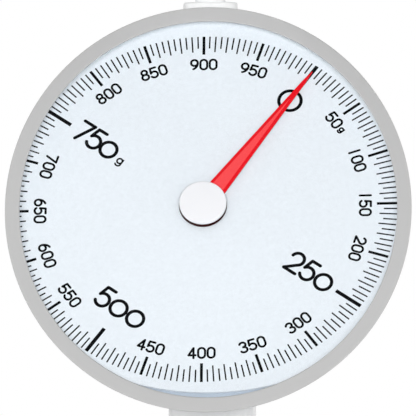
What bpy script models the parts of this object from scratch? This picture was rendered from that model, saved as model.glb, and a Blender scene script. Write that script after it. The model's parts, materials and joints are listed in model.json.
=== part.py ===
# Dial kitchen scale: a drum with a leaning dial on a pedestal, and a weighing pan on a stem above it.
# Metres, +Z up, front towards -Y, origin on the floor under the middle of the pan.
import math

import bmesh
import bpy
from mathutils import Matrix, Vector

OBJECT_NAME = "dial_kitchen_scale"

# Clearances and mesh fineness
GAP = 0.0003  # between pieces that seat on each other
RUN = 0.0003  # around pins and shafts
OVERCUT = 0.001  # how far a cutter reaches past a wall
SINK = 0.001  # how far shapes that fuse reach into each other
PROUD = 0.001  # how far a pin stands out of its hole
WELD = 0.000001
DRUM_SIDES = 48
ROUND_SIDES = 20
PIN_SIDES = 12
PAN_STEPS = 5

# Drum and its slanted front, with depths measured along Y from the rim plane
SLANT = math.radians(27.0)
SHELL_RADIUS = 0.065
SHELL_WALL = 0.0012
SHELL_BACK = 0.045
FRONT_STANDOFF = 0.02241  # from the stem's axis to the top of the leaning rim
SKIRT_WALL = 0.0007
SKIRT_DEPTH = 0.009
LIP_WIDTH = 0.0047
LIP_DEPTH = 0.003
GASKET_DEPTH = 0.001
LENS_DEPTH = 0.002
SPACER_DEPTH = 0.0045
CLAMP_RING_WIDTH = 0.0005
LEDGE_WIDTH = 0.0035
LEDGE_DEPTH = 0.003
PLATE_EDGE_GAP = 0.0005
BEZEL_SCREW_RADIUS = 0.0012

# Dial, measured in its own plane from the arbor
ARBOR_SHIFT = -0.0019  # the arbor stands a little left of the drum's axis
DIAL_THICKNESS = 0.001
DIAL_TRIM_REACH = 0.0673  # from the arbor down to the dial's lower edge
DIAL_TRIM_RADIUS = 0.100
DIAL_HOLE_RADIUS = 0.002
DIAL_TURN = math.radians(36.0)
POINTER_REACH = 0.0608
POINTER_WIDTH = 0.0055
POINTER_TIP_WIDTH = 0.0004
POINTER_HUB_RADIUS = 0.0078
POINTER_THICKNESS = 0.0006
POINTER_HEIGHT = 0.0012
CAP_RADIUS = 0.0077
CAP_HEIGHT = 0.0019

# Movement behind the dial
PLATE_THICKNESS = 0.002
MODULE = 0.0005
PINION_TEETH = 10
TOOTH_BACKLASH = 0.0002
MESH_EASE = 0.00015
ADDENDUM = 0.00042
DEDENDUM = 0.00062
PRESSURE_SLOPE = math.tan(math.radians(20.0))
TIP_SLOPE = 0.42
PINION_LENGTH = 0.005
RACK_SETBACK = 0.016
RACK_THICKNESS = 0.003
RACK_BACKING = 0.0029
RACK_PIN_HEIGHT = 0.0425
RACK_PIN_RADIUS = 0.0015
ARBOR_RADIUS = 0.0012
BUSH_WALL = 0.0015
BUSH_FLANGE = 0.0015
BUSH_FLANGE_DEPTH = 0.0009
PILLAR_RADIUS = 0.0015
GUIDE_WALL = 0.0007
BRIDGE_THICKNESS = 0.0015
BRIDGE_HEIGHT = 0.010
BRIDGE_MARGIN = 0.0035
SMALL_SCREW_RADIUS = 0.0008
SMALL_HEAD_RADIUS = 0.0024
SMALL_HEAD_HEIGHT = 0.0014
SHEET_CORNER = 0.002

# Load carrier, levers and springs
CARRIER_WIDTH = 0.010
CARRIER_DEPTH = 0.006
CARRIER_TOP = 0.044
CARRIER_BOTTOM = -0.038
BOSS_RADIUS = 0.0065
BOSS_HEIGHT = 0.008
CROSS_HALF = 0.025
CROSS_HEIGHT = 0.004
CROSS_LIP = 0.001
YOKE_THICKNESS = 0.0015
YOKE_OFFSET = 0.0095
YOKE_HEIGHT = 0.010
YOKE_WALL = 0.0018
SLOT_EASE = 0.00035
LEVER_LENGTH = 0.038
LEVER_PIN_RADIUS = 0.0015
LEVER_PIVOT_RADIUS = 0.002
LEVER_TUBE_WALL = 0.0012
LEVER_ARM_OFFSET = 0.0125
LEVER_ARM_THICKNESS = 0.0015
LEVER_END_RADIUS = 0.004
UPPER_PIN_HEIGHT = 0.022
LOWER_PIN_HEIGHT = -0.020
SPRING_OFFSET = 0.021
SPRING_RADIUS = 0.0034
SPRING_WIRE = 0.0012
SPRING_COILS = 10
SPRING_COIL_POINTS = 9
SPRING_TAIL = 0.012

# Chassis and zero adjustment
CHASSIS_HALF = 0.029
CHASSIS_SHEET = 0.0015
CHASSIS_FRONT = -0.007
CHASSIS_TOP = 0.050
CHASSIS_BOTTOM = -0.042
CHASSIS_SCREW_HEIGHT = 0.022
HANGER_FRONT = -0.007
HANGER_BACK = 0.016
HANGER_THICKNESS = 0.0025
HANGER_HOLE_RADIUS = 0.008
HANGER_FLANGE = 0.002
HANGER_FLANGE_HALF = 0.009
HANGER_FLANGE_DROP = 0.012
ZERO_DROP = 0.006
ZERO_SHAFT_RADIUS = 0.002
ZERO_THROW = 0.0025
ZERO_SWING = math.radians(40.0)
ZERO_DISC_RADIUS = 0.0048
ZERO_DISC_DEPTH = 0.0025
ZERO_PIN_RADIUS = 0.0015
KNOB_RADIUS = 0.010
KNOB_DEPTH = 0.011
KNOB_GRIPS = 12
KNOB_GRIP_DEPTH = 0.0008
KNOB_END_WALL = 0.003

# Rear cover and its screws
COVER_DEPTH = 0.0027
COVER_CHAMFER = 0.0008
COVER_SCREWS = 3
COVER_BOSS_RADIUS = 0.004
COVER_BOSS_LENGTH = 0.012
COVER_BOSS_SINK = 0.0005
COVER_SCREW_REACH = 0.008
SCREW_RADIUS = 0.0015
SCREW_HEAD_RADIUS = 0.003
SCREW_HEAD_HEIGHT = 0.0018

# Stem, seat and pan
STEM_RADIUS = 0.005
STEM_SPIGOT_RADIUS = 0.0025
STEM_SPIGOT_LENGTH = 0.009
COLLAR_FLANGE_RADIUS = 0.009
COLLAR_FLANGE_HEIGHT = 0.003
COLLAR_WALL = 0.0012
COLLAR_REACH = 0.006
PAN_CLEARANCE = 0.003
SEAT_HUB_RADIUS = 0.008
SEAT_HUB_HEIGHT = 0.002
SEAT_RADIUS = 0.0515
SEAT_THICKNESS = 0.002
SEAT_RIM_WALL = 0.0015
SEAT_RIM_HEIGHT = 0.0025
SEAT_SCREW_RADIUS = 0.0018
SEAT_SCREW_LENGTH = 0.012
SEAT_HEAD_RADIUS = 0.004
SEAT_HEAD_HEIGHT = 0.002
PAN_RADIUS = 0.090
PAN_SHEET = 0.001
PAN_RIM_GAP = 0.0005
PAN_FLOOR_RADIUS = 0.068
PAN_DEPTH = 0.018
PAN_LIP = 0.002

# Pedestal and feet
FOOT_HEIGHT = 0.0037
FOOT_RADIUS = 0.007
FOOT_INSET = 0.010
BASE_HALF_WIDTH = 0.055
BASE_FRONT = -0.055
BASE_BACK = 0.045
BASE_THICKNESS = 0.008
BASE_CORNER = 0.018
BASE_ROUNDING = 0.002
PEDESTAL_HALF_WIDTH = 0.014
PEDESTAL_HALF_DEPTH = 0.035
PEDESTAL_CORNER = 0.010
PEDESTAL_RISE = 0.011  # from the foot plate to the underside of the drum
BOLT_RADIUS = 0.0025
BOLT_HEAD_RADIUS = 0.0045
BOLT_HEAD_HEIGHT = 0.003
BOLT_SPACING = 0.044
BOLT_EXTRA = 0.0015
NUT_RADIUS = 0.0046
NUT_HEIGHT = 0.004
STOP_RADIUS = 0.005

# Places worked out from those sizes
COS = math.cos(SLANT)
SIN = math.sin(SLANT)
TAN = math.tan(SLANT)
BASE_BOTTOM = FOOT_HEIGHT + GAP
BASE_TOP = BASE_BOTTOM + BASE_THICKNESS
AXIS_HEIGHT = BASE_TOP + PEDESTAL_RISE + SHELL_RADIUS
RIM_Y = -FRONT_STANDOFF - SHELL_RADIUS * TAN
SHELL_BORE = SHELL_RADIUS - SHELL_WALL
BEZEL_RADIUS = SHELL_RADIUS + GAP + SKIRT_WALL
LIP_RADIUS = BEZEL_RADIUS - LIP_WIDTH
CLAMP_RADIUS = SHELL_BORE - GAP
PLATE_RADIUS = SHELL_BORE - PLATE_EDGE_GAP
GASKET_FRONT = LIP_DEPTH + GAP
LENS_FRONT = GASKET_FRONT + GASKET_DEPTH + GAP
SPACER_FRONT = LENS_FRONT + LENS_DEPTH + GAP
DIAL_FRONT = SPACER_FRONT + SPACER_DEPTH + GAP
DIAL_PLATE_BACK = -DIAL_THICKNESS
MOVEMENT_PLATE_FRONT = DIAL_PLATE_BACK - GAP
MOVEMENT_PLATE_BACK = MOVEMENT_PLATE_FRONT - PLATE_THICKNESS
LEDGE_FRONT = DIAL_FRONT - (MOVEMENT_PLATE_BACK - GAP) / COS
LEDGE_BACK = LEDGE_FRONT + LEDGE_DEPTH
DIAL_PLACE = Vector((ARBOR_SHIFT, RIM_Y + DIAL_FRONT, AXIS_HEIGHT))
PITCH_RADIUS = MODULE * PINION_TEETH / 2
TOOTH_PITCH = math.pi * MODULE
TOOTH_WIDTH = TOOTH_PITCH / 2 - TOOTH_BACKLASH
RACK_TRAVEL = 2 * math.pi * PITCH_RADIUS
PAN_TRAVEL = RACK_TRAVEL * COS
RACK_BACK = PITCH_RADIUS + MESH_EASE + DEDENDUM + RACK_BACKING
GUIDE_RADIUS = PILLAR_RADIUS + RUN + GUIDE_WALL
PILLAR_OFFSET = RACK_BACK + GAP + GUIDE_RADIUS
BUSH_BORE = ARBOR_RADIUS + RUN
BUSH_RADIUS = BUSH_BORE + BUSH_WALL
PINION_BACK = -RACK_SETBACK - PINION_LENGTH / 2
BRIDGE_FRONT = PINION_BACK - BUSH_FLANGE_DEPTH - 2 * GAP
BRIDGE_BACK = BRIDGE_FRONT - BRIDGE_THICKNESS
PIN_Y = DIAL_PLACE.y + RACK_SETBACK * COS + RACK_PIN_HEIGHT * SIN
PIN_Z = DIAL_PLACE.z - RACK_SETBACK * SIN + RACK_PIN_HEIGHT * COS
PIN_SWEEP = RACK_TRAVEL * SIN
YOKE_END = YOKE_OFFSET + YOKE_THICKNESS
LEVER_RISE = PAN_TRAVEL / 2
LEVER_SPAN = math.sqrt(LEVER_LENGTH**2 - LEVER_RISE**2)
LEVER_ANGLE = math.asin(LEVER_RISE / LEVER_LENGTH)
LEVER_TUBE_RADIUS = LEVER_PIVOT_RADIUS + RUN + LEVER_TUBE_WALL
LEVER_PIN_HALF = LEVER_ARM_OFFSET + LEVER_ARM_THICKNESS + PROUD
HANGER_BOTTOM = CARRIER_TOP
CHASSIS_BACK = SHELL_BACK
COVER_FRONT = SHELL_BACK + GAP
COVER_BACK = COVER_FRONT + COVER_DEPTH
COVER_SCREW_CIRCLE = SHELL_BORE + COVER_BOSS_SINK - COVER_BOSS_RADIUS
ZERO_HEIGHT = AXIS_HEIGHT + HANGER_BOTTOM - ZERO_DROP
ZERO_DISC_FRONT = HANGER_BACK + PROUD
SHELL_TOP = AXIS_HEIGHT + SHELL_RADIUS
COLLAR_TOP = SHELL_TOP + GAP + COLLAR_FLANGE_HEIGHT
STEM_HOLE = STEM_RADIUS + RUN
COLLAR_RADIUS = STEM_HOLE + COLLAR_WALL
SEAT_BOTTOM = COLLAR_TOP + PAN_TRAVEL + PAN_CLEARANCE
SEAT_FLOOR = SEAT_BOTTOM + SEAT_HUB_HEIGHT
SEAT_TOP = SEAT_FLOOR + SEAT_THICKNESS
PAN_BOTTOM = SEAT_TOP + GAP
PAN_FOOT_RADIUS = SEAT_RADIUS - SEAT_RIM_WALL - GAP
FACET_SAG = SHELL_BORE * (1 - math.cos(math.pi / DRUM_SIDES))
BOLT_HEAD_BOTTOM = BASE_BOTTOM + GAP
BOLT_HEAD_TOP = BOLT_HEAD_BOTTOM + BOLT_HEAD_HEIGHT
NUT_BOTTOM = AXIS_HEIGHT - math.sqrt(SHELL_BORE**2 - NUT_RADIUS**2) + FACET_SAG + GAP
STOP_BOTTOM = AXIS_HEIGHT - math.sqrt(SHELL_BORE**2 - STOP_RADIUS**2) + FACET_SAG + GAP
STOP_TOP = AXIS_HEIGHT + CARRIER_BOTTOM - PAN_TRAVEL - GAP

# Colour, roughness and metal share of each finish
FINISHES = {
    "white_enamel": ((0.86, 0.87, 0.87), 0.35, 0.0),
    "white_plastic": ((0.85, 0.86, 0.86), 0.40, 0.0),
    "grey_plastic": ((0.55, 0.55, 0.55), 0.45, 0.0),
    "clear_lens": ((0.90, 0.93, 0.95), 0.05, 0.0),
    "dial_white": ((0.84, 0.90, 0.95), 0.50, 0.0),
    "pale_blue_grey": ((0.45, 0.50, 0.56), 0.50, 0.0),
    "pointer_red": ((0.90, 0.08, 0.09), 0.40, 0.0),
    "cap_white": ((0.90, 0.90, 0.92), 0.35, 0.0),
    "black_rubber": ((0.03, 0.03, 0.03), 0.80, 0.0),
    "steel": ((0.62, 0.62, 0.63), 0.35, 1.0),
    "spring_steel": ((0.42, 0.43, 0.45), 0.30, 1.0),
    "brass": ((0.72, 0.52, 0.22), 0.30, 1.0),
    "nylon": ((0.80, 0.80, 0.76), 0.50, 0.0),
    "pan_steel": ((0.70, 0.70, 0.71), 0.25, 1.0),
}

PARTS = None
CUTTERS = None


def start_scene():
    global PARTS, CUTTERS
    for obj in list(bpy.data.objects):
        bpy.data.objects.remove(obj, do_unlink=True)
    PARTS = bpy.data.collections.new(OBJECT_NAME)
    CUTTERS = bpy.data.collections.new("cutters")
    bpy.context.scene.collection.children.link(PARTS)
    bpy.context.scene.collection.children.link(CUTTERS)


# Put a finished piece in the scene with a material of its own
def add(obj, finish, parent=None, location=None):
    colour, roughness, metallic = FINISHES[finish]
    made = bpy.data.materials.new(f"{obj.name}_{finish}")
    made.use_nodes = True
    shader = made.node_tree.nodes["Principled BSDF"]
    shader.inputs["Base Color"].default_value = (*colour, 1.0)
    shader.inputs["Roughness"].default_value = roughness
    shader.inputs["Metallic"].default_value = metallic
    obj.data.materials.clear()
    obj.data.materials.append(made)
    PARTS.objects.link(obj)
    obj.parent = parent
    if location is not None:
        obj.location = location
    return obj


def empty(name, location, turn=0.0):
    marker = bpy.data.objects.new(name, None)
    marker.empty_display_size = 0.01
    marker.location = location
    marker.rotation_euler = (turn, 0.0, 0.0)
    PARTS.objects.link(marker)
    return marker


def from_bmesh(name, bm):
    mesh = bpy.data.meshes.new(name)
    bm.to_mesh(mesh)
    bm.free()
    return bpy.data.objects.new(name, mesh)


# Swap an object's curve or modifiers for the mesh they make, welded and facing out
def baked(obj):
    name = obj.name
    bpy.context.scene.collection.objects.link(obj)
    bpy.context.view_layer.update()
    depsgraph = bpy.context.evaluated_depsgraph_get()
    mesh = bpy.data.meshes.new_from_object(obj.evaluated_get(depsgraph), depsgraph=depsgraph)
    bpy.data.objects.remove(obj, do_unlink=True)
    bm = bmesh.new()
    bm.from_mesh(mesh)
    bpy.data.meshes.remove(mesh)
    bmesh.ops.remove_doubles(bm, verts=bm.verts, dist=WELD)
    bmesh.ops.recalc_face_normals(bm, faces=bm.faces)
    return from_bmesh(name, bm)


def block(name, low, high):
    low = Vector(low)
    high = Vector(high)
    place = Matrix.Translation((low + high) / 2) @ Matrix.Diagonal((*(high - low), 1.0))
    bm = bmesh.new()
    bmesh.ops.create_cube(bm, size=1.0, matrix=place)
    return from_bmesh(name, bm)


AXIS_TURNS = {
    "X": Matrix.Rotation(math.radians(90.0), 4, "Y"),
    "Y": Matrix.Rotation(math.radians(-90.0), 4, "X"),
    "Z": Matrix.Identity(4),
}


# Round bar along one axis, from start to end, through a point on that axis
def rod(name, radius, start, end, axis="Z", through=(0.0, 0.0, 0.0), sides=PIN_SIDES):
    along = {"X": Vector((1, 0, 0)), "Y": Vector((0, 1, 0)), "Z": Vector((0, 0, 1))}[axis]
    middle = Vector(through) + along * ((start + end) / 2)
    bm = bmesh.new()
    bmesh.ops.create_cone(
        bm,
        cap_ends=True,
        segments=sides,
        radius1=radius,
        radius2=radius,
        depth=end - start,
        matrix=Matrix.Translation(middle) @ AXIS_TURNS[axis],
    )
    return from_bmesh(name, bm)


# Profile of (radius, place along the axis) points turned about Z or Y
def turned(name, profile, axis="Z", sides=ROUND_SIDES):
    if axis == "Z":
        points = [(radius, 0.0, place) for radius, place in profile]
    else:
        points = [(radius, place, 0.0) for radius, place in profile]
    edges = [(i, i + 1) for i in range(len(points) - 1)]
    if profile[0][0] > 0.0:
        edges.append((len(points) - 1, 0))
    mesh = bpy.data.meshes.new(name)
    mesh.from_pydata(points, edges, [])
    obj = bpy.data.objects.new(name, mesh)
    screw = obj.modifiers.new("Turn", "SCREW")
    screw.axis = axis
    screw.steps = sides
    screw.render_steps = sides
    screw.use_merge_vertices = True
    screw.merge_threshold = WELD
    return baked(obj)


# Plain ring with a square section
def ring(name, inner, outer, start, end, axis="Z", sides=ROUND_SIDES):
    return turned(name, [(inner, start), (outer, start), (outer, end), (inner, end)], axis, sides)


# Flat sheet in XY, centred on its thickness: the first outline is its edge, the others are holes
def plate(name, outlines, thickness):
    curve = bpy.data.curves.new(name, "CURVE")
    curve.dimensions = "2D"
    curve.fill_mode = "BOTH"
    curve.extrude = thickness / 2
    for outline in outlines:
        spline = curve.splines.new("POLY")
        spline.points.add(len(outline) - 1)
        for point, (x, y) in zip(spline.points, outline):
            point.co = (x, y, 0.0, 1.0)
        spline.use_cyclic_u = True
    return baked(bpy.data.objects.new(name, curve))


def arc(centre, radius, start, end, count):
    steps = [start + (end - start) * i / count for i in range(count + 1)]
    return [(centre[0] + radius * math.cos(a), centre[1] + radius * math.sin(a)) for a in steps]


def circle(centre, radius, count=PIN_SIDES):
    return arc(centre, radius, 0.0, 2 * math.pi, count)[:-1]


# Long hole or round-ended bar, lying along X
def stadium(centre, half, radius, count=8):
    right = arc((centre[0] + half, centre[1]), radius, -math.pi / 2, math.pi / 2, count)
    left = arc((centre[0] - half, centre[1]), radius, math.pi / 2, 3 * math.pi / 2, count)
    return right + left


def rounded_rectangle(low, high, radius, count=5):
    corners = (
        (high[0] - radius, high[1] - radius, 0.0),
        (low[0] + radius, high[1] - radius, math.pi / 2),
        (low[0] + radius, low[1] + radius, math.pi),
        (high[0] - radius, low[1] + radius, 1.5 * math.pi),
    )
    points = []
    for x, y, start in corners:
        points += arc((x, y), radius, start, start + math.pi / 2, count)
    return points


# Stand a flat sheet up: its X runs along world Y and its Y along world Z
def face_x(obj, place):
    obj.data.transform(Matrix(((0, 0, 1, 0), (1, 0, 0, 0), (0, 1, 0, 0), (0, 0, 0, 1))))
    obj.data.transform(Matrix.Translation(place))
    return obj


# One mesh from several loose ones, for cutters that work together
def gathered(name, pieces):
    bm = bmesh.new()
    for piece in pieces:
        bm.from_mesh(piece.data)
        bpy.data.objects.remove(piece, do_unlink=True)
    return from_bmesh(name, bm)


def shaped(obj, tool, operation):
    tool.hide_render = True
    tool.display_type = "WIRE"
    tool.parent = obj.parent
    tool.matrix_basis = obj.matrix_basis
    CUTTERS.objects.link(tool)
    change = obj.modifiers.new(tool.name, "BOOLEAN")
    change.operation = operation
    change.solver = "EXACT"
    change.object = tool
    return obj


def cut(obj, tool):
    return shaped(obj, tool, "DIFFERENCE")


def fuse(obj, tool):
    return shaped(obj, tool, "UNION")


# Lean the turned pieces of the drum's front: points this near to the rim slide along Y with their height
def leaned(obj, depth):
    for vertex in obj.data.vertices:
        if vertex.co.y < depth:
            vertex.co.y += vertex.co.z * TAN
    return obj


# A radial bar at the bezel's skirt, at an angle from straight up
def skirt_bar(name, radius, start, end, angle):
    bar = rod(name, radius, start, end)
    height = (SHELL_RADIUS + SKIRT_WALL) * math.cos(angle)
    depth = (GASKET_FRONT + SKIRT_DEPTH) / 2 + height * TAN
    bar.data.transform(Matrix.Translation((0.0, depth, 0.0)) @ Matrix.Rotation(angle, 4, "Y"))
    return bar


def thirds(count):
    return [2 * math.pi * i / count for i in range(count)]


def build_drum():
    front = (0.0, RIM_Y, AXIS_HEIGHT)
    back = SHELL_BACK - RIM_Y
    profile = [
        (SHELL_RADIUS, GASKET_FRONT),
        (SHELL_RADIUS, back),
        (SHELL_BORE, back),
        (SHELL_BORE, LEDGE_BACK),
        (SHELL_BORE - LEDGE_WIDTH, LEDGE_BACK),
        (SHELL_BORE - LEDGE_WIDTH, LEDGE_FRONT),
        (SHELL_BORE, LEDGE_FRONT),
        (SHELL_BORE, GASKET_FRONT),
    ]
    shell = leaned(turned("drum_shell", profile, "Y", DRUM_SIDES), LEDGE_BACK + WELD)
    add(shell, "white_enamel", location=front)
    bosses = []
    holes = []
    skirt_hole = BEZEL_SCREW_RADIUS + RUN
    for angle in thirds(COVER_SCREWS):
        at = (COVER_SCREW_CIRCLE * math.sin(angle), 0.0, COVER_SCREW_CIRCLE * math.cos(angle))
        bosses.append(rod("boss", COVER_BOSS_RADIUS, back - COVER_BOSS_LENGTH, back - GAP, "Y", at))
        hole_end = back - COVER_SCREW_REACH - GAP
        holes.append(rod("boss_hole", SCREW_RADIUS + RUN, hole_end, back + OVERCUT, "Y", at))
        holes.append(skirt_bar("skirt_hole", skirt_hole, SHELL_BORE - OVERCUT, BEZEL_RADIUS + OVERCUT, angle))
    centre = -RIM_Y
    outside = SHELL_RADIUS + OVERCUT
    below_ledge = SHELL_BORE - LEDGE_WIDTH - OVERCUT
    holes.append(rod("stem_hole", COLLAR_RADIUS + GAP, below_ledge, outside, "Z", (0.0, centre, 0.0)))
    for side in (-1, 1):
        at = (0.0, centre + side * BOLT_SPACING / 2, 0.0)
        holes.append(rod("bolt_hole", BOLT_RADIUS + RUN, -outside, -below_ledge, "Z", at))
    fuse(shell, gathered("shell_bosses", bosses))
    cut(shell, gathered("shell_holes", holes))

    lip = [
        (LIP_RADIUS, 0.0),
        (BEZEL_RADIUS, 0.0),
        (BEZEL_RADIUS, SKIRT_DEPTH),
        (SHELL_RADIUS + GAP, SKIRT_DEPTH),
        (SHELL_RADIUS + GAP, LIP_DEPTH),
        (LIP_RADIUS, LIP_DEPTH),
    ]
    bezel = leaned(turned("bezel_ring", lip, "Y", DRUM_SIDES), back)
    add(bezel, "grey_plastic", location=front)
    holes = []
    for number, angle in enumerate(thirds(COVER_SCREWS), 1):
        holes.append(skirt_bar("skirt_hole", skirt_hole, SHELL_RADIUS, BEZEL_RADIUS + OVERCUT, angle))
        screw = skirt_bar(f"bezel_screw_{number}", BEZEL_SCREW_RADIUS, SHELL_BORE + GAP, BEZEL_RADIUS, angle)
        add(screw, "steel", location=front)
    cut(bezel, gathered("bezel_holes", holes))

    inner = CLAMP_RADIUS - CLAMP_RING_WIDTH
    gasket_back = GASKET_FRONT + GASKET_DEPTH
    gasket = ring("lens_gasket", inner, CLAMP_RADIUS, GASKET_FRONT, gasket_back, "Y", DRUM_SIDES)
    add(leaned(gasket, back), "black_rubber", location=front)
    disc = [
        (0.0, LENS_FRONT),
        (CLAMP_RADIUS, LENS_FRONT),
        (CLAMP_RADIUS, LENS_FRONT + LENS_DEPTH),
        (0.0, LENS_FRONT + LENS_DEPTH),
    ]
    add(leaned(turned("dial_lens", disc, "Y", DRUM_SIDES), back), "clear_lens", location=front)
    spacer_back = SPACER_FRONT + SPACER_DEPTH
    spacer = ring("lens_spacer", inner, CLAMP_RADIUS, SPACER_FRONT, spacer_back, "Y", DRUM_SIDES)
    add(leaned(spacer, back), "white_plastic", location=front)


def build_rear_cover():
    back = (0.0, 0.0, AXIS_HEIGHT)
    disc = [
        (0.0, COVER_FRONT),
        (SHELL_RADIUS, COVER_FRONT),
        (SHELL_RADIUS, COVER_BACK - COVER_CHAMFER),
        (SHELL_RADIUS - COVER_CHAMFER, COVER_BACK),
        (0.0, COVER_BACK),
    ]
    cover = add(turned("rear_cover", disc, "Y", DRUM_SIDES), "white_enamel", location=back)
    holes = []
    for number, angle in enumerate(thirds(COVER_SCREWS), 1):
        at = Vector((COVER_SCREW_CIRCLE * math.sin(angle), 0.0, COVER_SCREW_CIRCLE * math.cos(angle)))
        holes.append(rod("hole", SCREW_RADIUS + RUN, COVER_FRONT - OVERCUT, COVER_BACK + OVERCUT, "Y", at))
        add(cover_screw(f"cover_screw_{number}", COVER_SCREW_REACH), "steel", location=Vector(back) + at)
    for side, name in ((1, "upper"), (-1, "lower")):
        at = Vector((0.0, 0.0, side * CHASSIS_SCREW_HEIGHT))
        holes.append(rod("hole", SCREW_RADIUS + RUN, COVER_FRONT - OVERCUT, COVER_BACK + OVERCUT, "Y", at))
        reach = GAP + CHASSIS_SHEET + PROUD / 2
        add(cover_screw(f"chassis_screw_{name}", reach), "steel", location=Vector(back) + at)
    at = (0.0, 0.0, ZERO_HEIGHT - AXIS_HEIGHT)
    holes.append(rod("hole", ZERO_SHAFT_RADIUS + RUN, COVER_FRONT - OVERCUT, COVER_BACK + OVERCUT, "Y", at))
    cut(cover, gathered("cover_holes", holes))


# Pan-head screw along Y whose head lies on the outside of the rear cover
def cover_screw(name, reach):
    head = COVER_BACK + GAP
    profile = [
        (0.0, COVER_FRONT - reach),
        (SCREW_RADIUS, COVER_FRONT - reach),
        (SCREW_RADIUS, head),
        (SCREW_HEAD_RADIUS, head),
        (SCREW_HEAD_RADIUS, head + SCREW_HEAD_HEIGHT / 2),
        (SCREW_HEAD_RADIUS - SCREW_HEAD_HEIGHT / 2, head + SCREW_HEAD_HEIGHT),
        (0.0, head + SCREW_HEAD_HEIGHT),
    ]
    return turned(name, profile, "Y", PIN_SIDES)


# Oval that fills the leaning drum, drawn about the arbor; the dial's own is trimmed below to a flatter arc
def dial_outline(middle, trimmed=False):
    rise = -middle * TAN
    trim_middle = DIAL_TRIM_RADIUS - DIAL_TRIM_REACH
    points = []
    for i in range(DRUM_SIDES):
        angle = 2 * math.pi * i / DRUM_SIDES
        x = PLATE_RADIUS * math.cos(angle)
        y = PLATE_RADIUS / COS * math.sin(angle) + rise
        reach = math.hypot(x, y - trim_middle)
        if trimmed and reach > DIAL_TRIM_RADIUS:
            x *= DIAL_TRIM_RADIUS / reach
            y = trim_middle + (y - trim_middle) * DIAL_TRIM_RADIUS / reach
        points.append((x - ARBOR_SHIFT, y))
    return points


def build_dial(movement):
    middle = -DIAL_THICKNESS / 2
    outlines = [dial_outline(middle, True), circle((0.0, 0.0), DIAL_HOLE_RADIUS)]
    add(plate("dial_plate", outlines, DIAL_THICKNESS), "dial_white", movement, (0.0, 0.0, middle))
    middle = MOVEMENT_PLATE_FRONT - PLATE_THICKNESS / 2
    outlines = [dial_outline(middle), circle((0.0, 0.0), BUSH_RADIUS + GAP)]
    add(plate("movement_plate", outlines, PLATE_THICKNESS), "pale_blue_grey", movement, (0.0, 0.0, middle))


def build_pointer(movement):
    half = math.asin(POINTER_WIDTH / 2 / POINTER_HUB_RADIUS)
    start = math.pi / 2 + half
    hub = arc((0.0, 0.0), POINTER_HUB_RADIUS, start, start + 2 * (math.pi - half), ROUND_SIDES)
    tip = [(POINTER_TIP_WIDTH / 2, POINTER_REACH), (-POINTER_TIP_WIDTH / 2, POINTER_REACH)]
    pointer = plate("pointer", [hub + tip, circle((0.0, 0.0), BUSH_BORE)], POINTER_THICKNESS)
    pointer.data.transform(Matrix.Rotation(-DIAL_TURN, 4, "Z"))
    add(pointer, "pointer_red", movement, (0.0, 0.0, POINTER_HEIGHT + POINTER_THICKNESS / 2))

    bottom = POINTER_HEIGHT + POINTER_THICKNESS + GAP
    edge = CAP_HEIGHT / 4
    profile = [
        (0.0, bottom),
        (CAP_RADIUS - edge, bottom),
        (CAP_RADIUS, bottom + edge),
        (CAP_RADIUS, bottom + CAP_HEIGHT - edge),
        (CAP_RADIUS - edge, bottom + CAP_HEIGHT),
        (0.0, bottom + CAP_HEIGHT),
    ]
    add(turned("pointer_cap", profile), "cap_white", movement)


def pinion_outline():
    half = TOOTH_WIDTH / 2
    flanks = (
        (PITCH_RADIUS - DEDENDUM, half + ADDENDUM / 4),
        (PITCH_RADIUS, half),
        (PITCH_RADIUS + ADDENDUM, half - ADDENDUM * TIP_SLOPE),
    )
    points = []
    for tooth in range(PINION_TEETH):
        middle = (tooth + 0.5) * 2 * math.pi / PINION_TEETH
        for radius, width in flanks:
            points.append((radius, middle - width / radius))
        for radius, width in reversed(flanks):
            points.append((radius, middle + width / radius))
    return [(radius * math.cos(angle), radius * math.sin(angle)) for radius, angle in points]


# Straight rack with its teeth towards -X and its plain end running up to the pin
def rack_outline():
    pitch_line = PITCH_RADIUS + MESH_EASE
    tip = TOOTH_WIDTH / 2 - ADDENDUM * PRESSURE_SLOPE
    root = TOOTH_WIDTH / 2 + DEDENDUM * PRESSURE_SLOPE
    points = []
    first = -2
    last = PINION_TEETH + 2
    for tooth in range(first, last + 1):
        middle = tooth * TOOTH_PITCH
        points += [
            (pitch_line + DEDENDUM, middle - root),
            (pitch_line - ADDENDUM, middle - tip),
            (pitch_line - ADDENDUM, middle + tip),
            (pitch_line + DEDENDUM, middle + root),
        ]
    top = RACK_PIN_HEIGHT + 2 * RACK_PIN_RADIUS
    bottom = first * TOOTH_PITCH - TOOTH_PITCH / 2
    roots = pitch_line + DEDENDUM
    return points + [(roots, top), (RACK_BACK, top), (RACK_BACK, bottom), (roots, bottom)]


# Flanged bush about the arbor, with its flange on the movement's side of a sheet
def bush(name, tip, seat, side):
    flange = seat + side * GAP
    end = flange + side * BUSH_FLANGE_DEPTH
    profile = [
        (BUSH_BORE, tip),
        (BUSH_RADIUS, tip),
        (BUSH_RADIUS, flange),
        (BUSH_RADIUS + BUSH_FLANGE, flange),
        (BUSH_RADIUS + BUSH_FLANGE, end),
        (BUSH_BORE, end),
    ]
    return turned(name, profile)


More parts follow.
